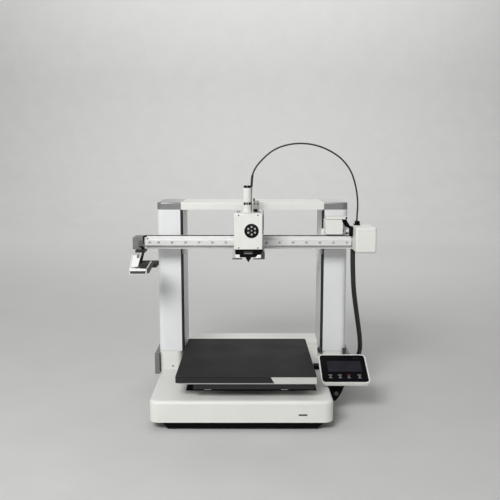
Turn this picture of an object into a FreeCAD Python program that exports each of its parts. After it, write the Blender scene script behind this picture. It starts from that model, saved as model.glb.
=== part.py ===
"""Desktop FDM printer with a moving bed, two columns and a direct-drive toolhead.

Frame: +X right, +Y back, +Z up, millimetres. Origin: middle of the footprint on the desk.
"""
import FreeCAD
import Part
import math
import os

from FreeCAD import Vector as V

os.makedirs("parts", exist_ok=True)

# ---------------------------------------------------------------- driving dimensions
HALF_WIDTH = 234.5          # end cap on the left, motor box on the right
HALF_DEPTH = 211.0
BASE_MID_X = -12.0          # the bed and the base share this middle line
BASE_HALF_W = 176.0
BASE_NOTCH_X = 147.0        # right edge of the base's front part, beside the screen
BASE_NOTCH_Y = -60.0
TRAY_TOP = 16.0
TRAY_FLOOR = TRAY_TOP + 1.6
BASE_TOP = 56.0
REAR_TOP = 69.0
DECK_X0 = -126.0            # black deck under the bed
DECK_X1 = 121.0
REAR_Y = 133.0
WALL = 2.5
BASE_R = 18.0
STEP_R = 6.0                # corners of the step in the base's right side

COL_OUT = 192.5             # outer face of each column, both sides of X = 0
COL_IN = 145.5
COL_R = 11.0                # rounding of the columns' outer corners
COL_Y0 = -25.0
COL_Y1 = 93.0
PEDESTAL_TOP = 94.0
COL_TOP = 387.5
BEAM_TOP = 402.0
WEB = 3.0                   # thickness of the dark inner web
SCREW_X = 168.0
SCREW_Y = 15.0
ROD_Y = 48.0
ARM_Y0 = -18.5              # arm of each Z carriage, through the column's slot
ARM_Y1 = -5.0
PROFILE_Y1 = 2.0            # rear edge of the dark profile

BED_W = 257.0
BED_Y0 = -199.0
BED_D = 257.0
PLATE_TOP = 97.0
PLATE_T = 1.2
SLAB_Z0 = 86.0
CARRIAGE_TOP = 84.0
RAIL_DX = 70.0              # bed rails, either side of the bed's middle line
RAIL_W = 12.0
RAIL_H = 8.0
BED_RAIL_Z = 71.0
BED_RAIL_Y0 = -192.0
BED_RAIL_Y1 = 107.0
BEARING_Y0 = -101.0
BEARING_Y1 = -61.0
BEARING_Z0 = 66.5
BEARING_Z1 = 76.5
BELT_W = 6.0
BELT_T = 1.4
PULLEY_R = 6.0
BELT_GAP = 0.4
Y_BELT_Z = 42.0
Y_IDLER_Y = -150.0
Y_PULLEY_Y = 160.0
BELT_TOP = Y_BELT_Z + PULLEY_R + BELT_GAP + BELT_T

XBEAM_X0 = -212.5
XBEAM_X1 = 194.5
XBEAM_Y0 = -67.0
XBEAM_Y1 = -37.0
XBEAM_Z0 = 313.5
XBEAM_Z1 = 338.0
XRAIL_Z = 326.5
XRAIL_W = 10.0
XRAIL_FACE = XBEAM_Y0 - RAIL_H
XRAIL_X0 = -210.0
XRAIL_PITCH = 26.2
XRAIL_SCREWS = 15
XRAIL_HOLE_X0 = -182.5
XRAIL_END_HOLE_X = -200.2
BOX_X0 = 195.0
BOX_Y0 = -115.0
BOX_Y1 = -57.0
BOX_Z0 = 311.5
BOX_Z1 = 360.5
TAIL_TOP = 345.0            # lower rear part of the motor box, round the belt wheel
XPULLEY_X = 214.5
PLUG_X = 204.2              # socket on the motor box for the toolhead's cable
PLUG_Y = -64.0
PLUG_TOP = 368.0
HARNESS_X = 200.3
HARNESS_Y = -47.0
HARNESS_TOP = BOX_Z0 + 2.0
XIDLER_X = -209.5
XBELT_Z = 331.0
XBELT_Y = -52.0
XBELT_TOP = XBELT_Z + PULLEY_R + BELT_GAP + BELT_T

HEAD_X = -8.0               # toolhead's middle line and the nozzle
HEAD_HALF_W = 26.0
HEAD_Y0 = -147.0
COVER_T = 8.0
HEAD_Z0 = 323.0
HEAD_Z1 = 389.0
HEAD_STEP_Y = -115.0        # behind this the toolhead's top is lower
HEAD_STEP_Z = 380.0
NOZZLE_Y = -110.0
NOZZLE_TIP = 294.3
GEAR_X = -2.0
GEAR_Z = 357.5
GEAR_R = 12.0
GEAR_TEETH = 46
PINION_TEETH = 12
PINION_R = GEAR_R * PINION_TEETH / GEAR_TEETH
PINION_Z = GEAR_Z - GEAR_R - PINION_R - 0.2
FAN_Y = -118.0
FAN_Z = 336.5
FAN_R = 8.6
HUB_X = -10.4
HUB_Y = -72.0
HUB_R = 8.2
HUB_TOP = 433.2
BAND_Z0 = 400.6             # dark band round the hub
BAND_Z1 = 405.6
BAND_CORE_R = 5.2
ROCKER_PIN_L = 15.6         # stands proud of the paddle on both sides
INLET_R = 2.05              # filament tube of 4 mm
INLET_STEP = 0.2            # shoulder that a tube seats on, above the hub's top
FEED_R = 1.2                # way on for the filament, below the shoulder
INLET_DX = 3.4              # inlets, either side of the hub's axis
FITTING_R = 2.45
CABLE_X = -2.6              # toolhead cable's gland beside the hub
CABLE_Y = HUB_Y + 10.5
CABLE_FOOT = 390.0

SCREEN_X = 178.0
SCREEN_W = 88.5
SCREEN_L = 76.0
SCREEN_T = 9.0
SCREEN_Y = -141.4           # lower front edge of the glass
SCREEN_Z = 68.0
SCREEN_TILT = 24.3
SCREEN_PIVOT_Y = -112.0
SCREEN_PIVOT_Z = 66.0

WIPER_X0 = -213.0
WIPER_X1 = -181.0
WIPER_FRONT_Y = -126.0
WIPER_BACK_Y = -84.0
WIPER_SHELF_Z = 286.0
WIPER_TOP = NOZZLE_TIP - 0.4

HARNESS_D = 9.6
CABLE_D = 3.2


# ---------------------------------------------------------------- helpers
def box(x0, x1, y0, y1, z0, z1):
    return Part.makeBox(x1 - x0, y1 - y0, z1 - z0, V(x0, y0, z0))


def cyl(radius, length, base, direction):
    return Part.makeCylinder(radius, length, V(*base), V(*direction))


def round_edges(shape, radius, axis):
    """Fillet the straight edges that run along one axis."""
    chosen = []
    for edge in shape.Edges:
        if not isinstance(edge.Curve, Part.Line):
            continue
        way = edge.tangentAt(edge.FirstParameter)
        if abs(getattr(way, axis)) > 0.999:
            chosen.append(edge)
    return shape.makeFillet(radius, chosen)


def round_top(shape, radius, z):
    """Fillet the edges that lie wholly at one height."""
    chosen = [e for e in shape.Edges if abs(e.BoundBox.ZMin - z) < 0.01 and abs(e.BoundBox.ZMax - z) < 0.01]
    return shape.makeFillet(radius, chosen)


def prism(points, direction):
    """Solid from a closed outline of corner points, pushed along a direction."""
    outline = Part.makePolygon([V(*p) for p in points] + [V(*points[0])])
    return Part.Face(outline).extrude(V(*direction))


def group(solids):
    return Part.makeCompound(solids)


def mirrored(shape):
    return shape.mirror(V(0, 0, 0), V(1, 0, 0))


def save(name, shape):
    if not shape.isValid():
        raise ValueError(name + " is not a valid shape")
    for solid in shape.Solids:
        if solid.Volume < 1:
            raise ValueError(name + " holds an empty solid")
    shape.exportStep("parts/" + name + ".step")


# ---------------------------------------------------------------- base
def base_outline(inset, z0, z1):
    """The base's plan, with the notch at its front right corner."""
    left = BASE_MID_X - BASE_HALF_W + inset
    right = BASE_MID_X + BASE_HALF_W - inset
    notch = BASE_NOTCH_X - inset
    front = -HALF_DEPTH + inset
    back = HALF_DEPTH - inset
    corners = [(left, front, z0), (notch, front, z0), (notch, BASE_NOTCH_Y + inset, z0),
               (right, BASE_NOTCH_Y + inset, z0), (right, back, z0), (left, back, z0)]
    solid = prism(corners, (0, 0, z1 - z0))
    step = box(notch - 5, right + 5, BASE_NOTCH_Y - 20, BASE_NOTCH_Y + 20, z0 - 1, z1 + 1)
    uprights = [e for e in solid.Edges if abs(e.tangentAt(e.FirstParameter).z) > 0.99]
    outer = [e for e in uprights if not step.isInside(e.CenterOfMass, 0.1, True)]
    solid = solid.makeFillet(BASE_R - inset, outer)
    uprights = [e for e in solid.Edges if isinstance(e.Curve, Part.Line)
                and abs(e.tangentAt(e.FirstParameter).z) > 0.99]
    at_step = [e for e in uprights if step.isInside(e.CenterOfMass, 0.1, True)]
    return solid.makeFillet(STEP_R, at_step)


def pedestal(z0, z1, inset):
    solid = box(COL_IN + inset, COL_OUT - inset, COL_Y0 + inset, COL_Y1 - inset, z0, z1)
    return round_edges(solid, COL_R - inset, "z")


def base_cover():
    shell = round_top(base_outline(0, TRAY_TOP, BASE_TOP), 6.0, BASE_TOP)
    raised = base_outline(0, TRAY_TOP, REAR_TOP)
    raised = round_top(raised.common(box(-300, 300, REAR_Y, 300, TRAY_TOP, REAR_TOP)), 4.0, REAR_TOP)
    foot = pedestal(TRAY_TOP + 11, PEDESTAL_TOP, 0)
    shell = shell.fuse([raised, foot, mirrored(foot)])
    hollow = base_outline(WALL, TRAY_TOP - 1, BASE_TOP - WALL)
    rear_hollow = base_outline(WALL, TRAY_TOP - 1, REAR_TOP - WALL)
    rear_hollow = rear_hollow.common(box(-300, 300, REAR_Y + WALL, 300, 0, 100))
    foot_hollow = pedestal(TRAY_TOP + 11 + WALL, PEDESTAL_TOP + 1, WALL)
    shell = shell.cut([hollow, rear_hollow, foot_hollow, mirrored(foot_hollow)])
    shell = shell.cut([deck_opening(), card_slot(), rear_pocket(), harness_entry()])
    return shell


def deck_opening():
    """Hole in the base's top that the black deck fills."""
    return box(DECK_X0, DECK_X1, -155, REAR_Y, BASE_TOP - WALL - 1, BASE_TOP + 1)


def card_slot():
    return box(83, 99, -HALF_DEPTH - 1, -HALF_DEPTH + 4, 28.6, 31.8)


def rear_pocket():
    """Opening in the rear wall for the mains inlet and its switch."""
    return box(88, 150, HALF_DEPTH - 6, HALF_DEPTH + 1, 28, 54)


def harness_entry():
    return cyl(6.4, 12, (COL_OUT - 8, 34, 44), (1, 0, 0))


def base_tray():
    low = (-155.0, 118.0, -204.0, 196.0, 3.0)
    high = (-165.5, 131.5, -207.0, 204.0, TRAY_TOP)
    wires = []
    for x0, x1, y0, y1, z in (low, high):
        corners = [V(x0, y0, z), V(x1, y0, z), V(x1, y1, z), V(x0, y1, z), V(x0, y0, z)]
        wires.append(Part.makePolygon(corners))
    tray = Part.makeLoft(wires, True)
    floor = base_outline(WALL + 0.4, TRAY_TOP, TRAY_FLOOR)
    return tray.fuse(floor)


def feet():
    pads = []
    for x in (-140, 103):
        for y in (-188, 180):
            pads.append(cyl(9.0, 3.0, (x, y, 0), (0, 0, 1)))
    return group(pads)


def rail_deck():
    deck = box(DECK_X0 - 6, DECK_X1 + 6, -161, 138, BASE_TOP - WALL - 3, BASE_TOP - WALL)
    raised = box(DECK_X0 + 0.4, DECK_X1 - 0.4, -154.6, REAR_Y - 0.4, BASE_TOP - WALL, BASE_TOP - 0.8)
    deck = deck.fuse(raised)
    slot = box(BASE_MID_X - 8, BASE_MID_X + 8, -144, 140, 0, BASE_TOP + 1)
    deck = deck.cut(slot)
    blocks = []
    for side in (-1, 1):
        x = BASE_MID_X + side * RAIL_DX
        blocks.append(box(x - 11, x + 11, BEARING_Y0 + 1, BEARING_Y1 - 1, BASE_TOP - 2, BEARING_Z0))
    side_block = round_edges(box(127.5, 142, -31, -13, BASE_TOP, BASE_TOP + 8), 2.0, "z")
    return group([deck.fuse(blocks), side_block])


def rail_bearings():
    solids = []
    for side in (-1, 1):
        x = BASE_MID_X + side * RAIL_DX
        body = box(x - 13.5, x + 13.5, BEARING_Y0, BEARING_Y1, BEARING_Z0, BEARING_Z1)
        groove = box(x - RAIL_W / 2 - 0.2, x + RAIL_W / 2 + 0.2, BEARING_Y0 - 1, BEARING_Y1 + 1,
                     BED_RAIL_Z - 0.3, BEARING_Z1 + 1)
        solids.append(body.cut(groove))
    return group(solids)


def belt_loop(a, b, axis_mid, along, across):
    """Closed belt around two pulleys: two straight runs and two half rings.

    a and b are the pulley centres along the belt, axis_mid the height of both,
    along is "x" or "y", across is the position of the belt's middle on the other axis.
    """
    inner = PULLEY_R + BELT_GAP
    outer = inner + BELT_T

    def stadium(radius):
        if along == "x":
            run = box(a, b, across - BELT_W / 2, across + BELT_W / 2, axis_mid - radius, axis_mid + radius)
            ends = [cyl(radius, BELT_W, (c, across - BELT_W / 2, axis_mid), (0, 1, 0)) for c in (a, b)]
        else:
            run = box(across - BELT_W / 2, across + BELT_W / 2, a, b, axis_mid - radius, axis_mid + radius)
            ends = [cyl(radius, BELT_W, (across - BELT_W / 2, c, axis_mid), (1, 0, 0)) for c in (a, b)]
        return run.fuse(ends).removeSplitter()

    return stadium(outer).cut(stadium(inner))


def pulley(centre, axis, shaft_low, shaft_high):
    """Toothless belt wheel with two flanges, on its own shaft stub along the axis."""
    start = [centre[i] - axis[i] * (BELT_W / 2 + 0.6) for i in range(3)]
    body = cyl(PULLEY_R, BELT_W + 1.2, start, axis)
    flanges = []
    for side in (-1, 1):
        offset = side * (BELT_W / 2 + 1.1) - 0.5
        place = [centre[i] + axis[i] * offset for i in range(3)]
        flanges.append(cyl(PULLEY_R + 2.2, 1.0, place, axis))
    low = [centre[i] + axis[i] * shaft_low for i in range(3)]
    shaft = cyl(2.5, shaft_high - shaft_low, low, axis)
    return body.fuse(flanges + [shaft])


def stepper(width, length, face, axis):
    """Square motor with cut corners; face is the middle of its mounting face, axis points out of it."""
    half = width / 2
    body = box(-half, half, -half, half, -length, 0)
    body = body.makeChamfer(3.5, [e for e in body.Edges if abs(e.tangentAt(0).z) > 0.99])
    boss = cyl(width * 0.26, 2.0, (0, 0, 0), (0, 0, 1))
    hole = cyl(3.2, length + 4, (0, 0, -length - 1), (0, 0, 1))
    body = body.fuse(boss).cut(hole)
    if abs(axis[2]) < 0.9:
        body.rotate(V(0, 0, 0), V(0, 0, 1).cross(V(*axis)), 90)
    body.translate(V(*face))
    return body


def frame_motors():
    y_motor = stepper(42.3, 38, (BASE_MID_X + 14, Y_PULLEY_Y, Y_BELT_Z), (-1, 0, 0))
    solids = [y_motor]
    for side in (-1, 1):
        solids.append(stepper(35.2, 36, (side * SCREW_X, SCREW_Y, 70), (0, 0, 1)))
    return group(solids)


def power_supply():
    body = box(-140, -30, -62, 120, TRAY_FLOOR, 48)
    vents = []
    for i in range(12):
        y = -48 + i * 13
        vents.append(box(-141, -137, y, y + 6, 28, 44))
    return body.cut(vents)


def mainboard():
    board = box(12, 122, -60, 62, 26, 27.6)
    pieces = [board]
    for i in range(6):
        y = -50 + i * 17
        pieces.append(box(110, 121, y, y + 11, 27.5, 36))
    pieces.append(box(30, 52, -20, 2, 27.5, 34))
    pieces.append(box(62, 92, 10, 40, 27.5, 31))
    for x, y in ((16, -56), (118, -56), (16, 58), (118, 58)):
        pieces.append(cyl(3.0, 27 - TRAY_FLOOR, (x, y, TRAY_FLOOR), (0, 0, 1)))
    return pieces[0].fuse(pieces[1:])


def power_inlet():
    """Appliance inlet and switch housing in one moulding, let into the rear wall."""
    rear = HALF_DEPTH
    frame = box(90, 148, rear - 5.8, rear - 1.6, 29, 53)
    socket = box(94, 122, rear - 7, rear - 1, 31.5, 50.5)
    rocker_hole = box(128, 144, rear - 7, rear - 1, 31, 51)
    back = box(92, 124, rear - 25, rear - 5.5, 30, 52)
    well = box(94, 122, rear - 19, rear - 1, 31.5, 50.5)
    pins = [cyl(1.6, 14, (x, rear - 21, z), (0, 1, 0)) for x, z in ((101, 39), (108, 45), (115, 39))]
    body = frame.cut([socket, rocker_hole]).fuse(back.cut(well))
    switch_case = box(126, 146, rear - 21, rear - 5.5, 29.5, 52.5)
    switch_case = switch_case.cut(box(128, 144, rear - 19, rear - 5, 31, 51))
    return body.fuse(pins + [switch_case])


def power_rocker():
    rear = HALF_DEPTH
    paddle = prism([(129, rear - 7.5, 32.2), (129, rear - 1.8, 32.2), (129, rear - 3.4, 41),
                    (129, rear - 0.4, 49.8), (129, rear - 7.5, 49.8)], (14, 0, 0))
    pin = cyl(1.5, ROCKER_PIN_L, (136 - ROCKER_PIN_L / 2, rear - 6, 41), (1, 0, 0))
    return paddle.fuse(pin)


# ---------------------------------------------------------------- columns and top beam
def column_cover_right():
    """White outer skin with a rear inner wall; the dark profile closes its front inner side."""
    outer = box(COL_IN - WEB, COL_OUT, COL_Y0, COL_Y1, PEDESTAL_TOP + 0.5, COL_TOP)
    outer = outer.makeFillet(COL_R, [e for e in outer.Edges
                                     if abs(e.tangentAt(e.FirstParameter).z) > 0.99
                                     and e.BoundBox.XMin > COL_OUT - 1])
    inner = box(COL_IN, COL_OUT - WALL, COL_Y0 + WALL, COL_Y1 - WALL, PEDESTAL_TOP - 1, COL_TOP + 1)
    inner = inner.makeFillet(COL_R - WALL, [e for e in inner.Edges
                                            if abs(e.tangentAt(e.FirstParameter).z) > 0.99
                                            and e.BoundBox.XMin > COL_OUT - WALL - 1])
    inner_side = box(COL_IN - WEB - 1, COL_IN, COL_Y0 - 1, PROFILE_Y1, PEDESTAL_TOP - 1, COL_TOP + 1)
    return outer.cut([inner, inner_side])


def column_profiles():
    """Dark angle at each column's front inner corner, with the slot that the gantry's arm runs in."""
    web = box(COL_IN - WEB, COL_IN, COL_Y0 + WALL, PROFILE_Y1 - 0.2, PEDESTAL_TOP + 0.5, COL_TOP)
    flange = box(COL_IN, COL_IN + 10, COL_Y0 + WALL, COL_Y0 + WALL + 2, PEDESTAL_TOP + 0.5, COL_TOP)
    slot = box(COL_IN - WEB - 1, COL_IN + 1, ARM_Y0 - 1.5, ARM_Y1 + 1.5, PEDESTAL_TOP + 3, COL_TOP - 4)
    web = web.fuse(flange).cut(slot)
    return group([mirrored(web), web])


def top_beam():
    beam = box(-COL_IN + 1.5, COL_IN - 1.5, COL_Y0, COL_Y1, COL_TOP, BEAM_TOP)
    beam = beam.makeFillet(2.5, [e for e in beam.Edges
                                 if abs(e.tangentAt(e.FirstParameter).x) > 0.99
                                 and e.BoundBox.ZMin > BEAM_TOP - 1])
    core = box(-COL_IN - 5, COL_IN + 5, COL_Y0 + WALL, COL_Y1 - WALL, COL_TOP - 1, BEAM_TOP - WALL)
    return beam.cut(core)


def beam_end_caps():
    cap = box(COL_IN - 1.5, COL_OUT, COL_Y0, COL_Y1, COL_TOP, BEAM_TOP)
    outer = [e for e in cap.Edges if e.BoundBox.XMin > COL_OUT - 0.1]
    upright = [e for e in outer if abs(e.tangentAt(e.FirstParameter).z) > 0.99]
    cap = cap.makeFillet(COL_R, upright)
    cap = round_top(cap, 2.0, BEAM_TOP)
    seats = [cyl(5.05, 8, (SCREW_X, ROD_Y, COL_TOP - 1), (0, 0, 1)),
             cyl(4.3, 6, (SCREW_X, SCREW_Y, COL_TOP - 1), (0, 0, 1))]
    cap = cap.cut(seats)
    return group([mirrored(cap), cap])


def z_rods():
    solids = [cyl(5.0, COL_TOP + 6 - 54, (side * SCREW_X, ROD_Y, 54), (0, 0, 1)) for side in (-1, 1)]
    return group(solids)


def column_foot_blocks():
    """Grey blocks on the outer side of each column's foot."""
    block = box(COL_OUT + 0.2, COL_OUT + 10, COL_Y0 - 4, COL_Y1 - 10, 46, 90)
    block = block.makeFillet(2.5, [e for e in block.Edges if e.BoundBox.XMin > COL_OUT + 9])
    block = block.cut(cyl(8.0, 20, (COL_OUT - 8, 34, 44), (1, 0, 0)))
    return group([mirrored(block), block])


def z_screw(side):
    x = side * SCREW_X
    coupler = cyl(7.0, 10, (x, SCREW_Y, 72.5), (0, 0, 1))
    rod = cyl(4.0, COL_TOP + 4 - 73, (x, SCREW_Y, 73), (0, 0, 1))
    shaft = cyl(2.5, 30, (x, SCREW_Y, 40), (0, 0, 1))
    return rod.fuse([coupler, shaft])


# ---------------------------------------------------------------- bed
def bed_carriage():
    x0, x1 = BASE_MID_X - 96, BASE_MID_X + 124
    y0, y1 = BED_Y0 + 1, BED_Y0 + BED_D - 3
    tray = box(x0, x1, y0, y1, 74, CARRIAGE_TOP)
    tray = tray.cut(box(x0 + 3, x1 - 3, y0 + 3, y1 + 1, 73, 79))
    pieces = []
    for side in (-1, 1):
        x = BASE_MID_X + side * RAIL_DX
        pieces.append(box(x - 16, x + 16, y1 - 5, BED_RAIL_Y1, 79, CARRIAGE_TOP - 2))
    clamp_x = BASE_MID_X
    pieces.append(box(clamp_x - 5.6, clamp_x + 5.6, 28.5, 38.5, BELT_TOP + 0.5, 80))
    pieces.append(box(clamp_x + 3.6, clamp_x + 5.6, 28.5, 38.5, BELT_TOP - 4.5, BELT_TOP + 1))
    pieces.append(box(clamp_x - 3.5, clamp_x + 5.6, 28.5, 38.5, BELT_TOP - 4.5, BELT_TOP - BELT_T - 0.5))
    return tray.fuse(pieces)


def bed_rails():
    solids = []
    for side in (-1, 1):
        x = BASE_MID_X + side * RAIL_DX
        rail = box(x - RAIL_W / 2, x + RAIL_W / 2, BED_RAIL_Y0, BED_RAIL_Y1, BED_RAIL_Z, BED_RAIL_Z + RAIL_H)
        for flank in (-1, 1):
            start = (x + flank * RAIL_W / 2, BED_RAIL_Y0 - 1, BED_RAIL_Z + 3)
            rail = rail.cut(cyl(1.2, 400, start, (0, 1, 0)))
        solids.append(rail)
    return group(solids)


def heatbed():
    x0 = BASE_MID_X - BED_W / 2
    slab = box(x0, x0 + BED_W, BED_Y0, BED_Y0 + BED_D, SLAB_Z0, PLATE_TOP - PLATE_T)
    slab = round_edges(slab, 4.0, "z")
    spacers = []
    for dx in (-78, 100):
        for dy in (24, 128, 232):
            spacers.append(cyl(5.0, 3.0, (BASE_MID_X + dx, BED_Y0 + dy, CARRIAGE_TOP), (0, 0, 1)))
    return slab.fuse(spacers)


def build_plate():
    x0 = BASE_MID_X - BED_W / 2
    plate = box(x0, x0 + BED_W, BED_Y0, BED_Y0 + BED_D, PLATE_TOP - PLATE_T, PLATE_TOP)
    return round_edges(plate, 4.0, "z")


# ---------------------------------------------------------------- X gantry
def x_beam():
    beam = box(XBEAM_X0, XBEAM_X1, XBEAM_Y0, XBEAM_Y1, XBEAM_Z0, XBEAM_Z1)
    beam = beam.makeFillet(1.2, [e for e in beam.Edges if abs(e.tangentAt(e.FirstParameter).x) > 0.99])
    tunnel = box(XBEAM_X0 - 1, XBEAM_X1 + 1, XBELT_Y - 5, XBELT_Y + 5, XBELT_Z - 12, XBELT_Z - 2)
    top_slot = box(XBEAM_X0 - 1, XBEAM_X1 + 1, XBELT_Y - 5, XBELT_Y + 5, XBEAM_Z1 - 2, XBEAM_Z1 + 1)
    face_groove = box(XBEAM_X0 - 1, XBEAM_X1 + 1, XBEAM_Y0 - 1, XBEAM_Y0 + 3, XBEAM_Z0 + 3, XRAIL_Z - XRAIL_W / 2)
    wheel_room = box(XBEAM_X0 - 1, XIDLER_X + 10, XBELT_Y - 6, XBELT_Y + 6, XBELT_Z - 10, XBEAM_Z1 + 1)
    axle = cyl(2.56, 20, (XIDLER_X, XBELT_Y - 9, XBELT_Z), (0, 1, 0))
    return beam.cut([tunnel, top_slot, face_groove, wheel_room, axle])


def rail_holes():
    """X of every screw in the cross beam's rail: one near its left end, then an even row."""
    return [XRAIL_END_HOLE_X] + [XRAIL_HOLE_X0 + i * XRAIL_PITCH for i in range(XRAIL_SCREWS)]


def x_rail():
    rail = box(XRAIL_X0, XBEAM_X1 - 2, XRAIL_FACE, XBEAM_Y0, XRAIL_Z - XRAIL_W / 2, XRAIL_Z + XRAIL_W / 2)
    for flank in (-1, 1):
        z = XRAIL_Z + flank * XRAIL_W / 2
        rail = rail.cut(cyl(1.2, 500, (XRAIL_X0 - 1, XRAIL_FACE + 3, z), (1, 0, 0)))
    for x in rail_holes():
        rail = rail.cut(cyl(2.8, 5, (x, XRAIL_FACE - 1, XRAIL_Z), (0, 1, 0)))
    return rail


def x_rail_screws():
    solids = []
    for x in rail_holes():
        head = cyl(2.55, 2.5, (x, XRAIL_FACE + 1.5, XRAIL_Z), (0, 1, 0))
        head = head.cut(cyl(1.2, 1.6, (x, XRAIL_FACE + 1.4, XRAIL_Z), (0, 1, 0)))
        solids.append(head)
    return group(solids)


def z_carriage(side):
    """Nut block inside the column, arm through the slot, plate forward to the beam."""
    x_in = COL_IN - WEB - 0.6
    block = box(148.5, 187, ARM_Y0, 62, 285, 333)
    block = block.cut([cyl(4.06, 60, (SCREW_X, SCREW_Y, 280), (0, 0, 1)),
                       cyl(5.06, 60, (SCREW_X, ROD_Y, 280), (0, 0, 1))])
    relief = box(148, 152.5, ARM_Y0 - 1, ARM_Y0 + 5, 284, 292)
    block = block.cut(relief)
    arm = box(x_in - 4, 150, ARM_Y0, ARM_Y1, 296, 333)
    plate = box(x_in - 4, x_in, XBEAM_Y1, ARM_Y1, XBEAM_Z0, 333)
    body = block.fuse([arm, plate])
    if side < 0:
        return mirrored(body)
    bracket = box(143, 177, XBEAM_Y0 + 2, COL_Y0 - 4, XBELT_Z + 11, 371)
    bracket = bracket.makeFillet(2.5, [e for e in bracket.Edges
                                       if abs(e.tangentAt(e.FirstParameter).y) > 0.99])
    bar = box(144, 184.6, -64, -44, 371.8, 376.8)
    neck = box(150, 176, -60, -46, 368, 373)
    post = box(x_in - 4, 150, XBEAM_Y1 + 1, XBEAM_Y1 + 8, 330, 350)
    return body.fuse([bracket, bar, neck, post])


def x_motor():
    return stepper(35.2, 34, (XPULLEY_X, BOX_Y1 - 20, XBELT_Z), (0, 1, 0))


def motor_box():
    outer = box(BOX_X0, HALF_WIDTH, BOX_Y0, BOX_Y1, BOX_Z0, BOX_Z1)
    outer = outer.makeFillet(4.0, [e for e in outer.Edges if abs(e.tangentAt(e.FirstParameter).y) > 0.99
                                   or e.BoundBox.YMax < BOX_Y0 + 0.1])
    inner = box(BOX_X0 + 1.8, HALF_WIDTH - 1.8, BOX_Y0 + 1.8, BOX_Y1 + 1, BOX_Z0 + 1.8, BOX_Z1 - 1.8)
    tail = box(BOX_X0, HALF_WIDTH - 1, BOX_Y1, XBEAM_Y1, BOX_Z0 + 3, TAIL_TOP)
    tail_core = box(BOX_X0 - 1, HALF_WIDTH - 2.8, BOX_Y1 - 1, XBEAM_Y1 - 1.8, BOX_Z0 + 5, TAIL_TOP - 2)
    socket = box(PLUG_X - 5.2, PLUG_X + 5.2, PLUG_Y - 6, PLUG_Y + 6, BOX_Z1 - 1, PLUG_TOP)
    socket = round_edges(socket, 1.5, "z")
    gland = cyl(HARNESS_D / 2 + 0.7, 3.5, (HARNESS_X, HARNESS_Y, BOX_Z0), (0, 0, 1))
    bush = cyl(HARNESS_D / 2 + 0.01, 3.0, (HARNESS_X, HARNESS_Y, HARNESS_TOP - 3), (0, 0, 1))
    body = outer.cut(inner).fuse([tail, gland])
    return body.cut([tail_core, bush]).fuse(socket)


def left_end_cap():
    """Grey block on the beam's left end, with a slot for the rear half of the belt wheel."""
    cap = box(-HALF_WIDTH, XBEAM_X0, XBEAM_Y0 - 5, XBEAM_Y1 + 2, XBEAM_Z0 - 0.5, XBEAM_Z1 - 1)
    cap = cap.makeFillet(1.5, [e for e in cap.Edges if e.BoundBox.XMax < -HALF_WIDTH + 0.1])
    core = box(-HALF_WIDTH + 1.6, XBEAM_X0 + 1, XBEAM_Y0 - 2, XBEAM_Y1, XBEAM_Z0 + 4, XBEAM_Z1 - 4)
    wheel_slot = box(XIDLER_X - 9.5, XBEAM_X0 + 1, XBELT_Y - 6, XBELT_Y + 6, XBELT_Z - 1, XBEAM_Z1 + 1)
    return cap.cut([core, wheel_slot])


# ---------------------------------------------------------------- nozzle wiper
def wiper_bracket():
    """Bar under the left end cap, slanted strut, catch tray, deflector plate and diagonal arm."""
    back = WIPER_BACK_Y
    bar = box(-227, -208.2, back - 3, XBEAM_Y0 + 9, 309, XBEAM_Z0 - 0.5)
    strut = prism([(-213, back, 313), (-208.2, back, 313), (-216.5, back, 282), (-222, back, 282)], (0, -3, 0))
    tray = box(-233.4, -200, -122, back, 272, 283)
    deflector = prism([(-233.4, -120, 282), (-222, -120, 282), (-217.2, -120, 309), (-228, -120, 309)], (0, 24, 0))
    block = box(WIPER_X0, -200, -112, back, 282, WIPER_SHELF_Z)
    arm = prism([(-202, -122, 275), (-197.6, -122, 275), (-187, -122, 299), (-191.4, -122, 299)], (0, -7.2, 0))
    arm = arm.cut(box(WIPER_X0 - 1, -180, WIPER_FRONT_Y - 0.2, -121, 283.5, 300))
    return bar.fuse([strut, tray, deflector, block, arm])


def wiper_pad():
    """Rubber block under the nozzle's path, with a groove across it."""
    pad = box(WIPER_X0, WIPER_X1, WIPER_FRONT_Y, WIPER_BACK_Y - 4, WIPER_SHELF_Z, WIPER_TOP)
    groove = box(WIPER_X0 - 1, WIPER_X1 + 1, -101, -96, WIPER_SHELF_Z + 4, WIPER_TOP + 1)
    return round_edges(pad, 2.0, "z").cut(groove)


# ---------------------------------------------------------------- toolhead
def rail_block():
    body = box(HEAD_X - 22.5, HEAD_X + 22.5, XRAIL_FACE - 5, XRAIL_FACE + 4.6, XRAIL_Z - 13.5, XRAIL_Z + 13.5)
    groove = box(HEAD_X - 23, HEAD_X + 23, XRAIL_FACE - 0.3, XRAIL_FACE + 6,
                 XRAIL_Z - XRAIL_W / 2 - 0.25, XRAIL_Z + XRAIL_W / 2 + 0.25)
    return body.cut(groove)


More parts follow.
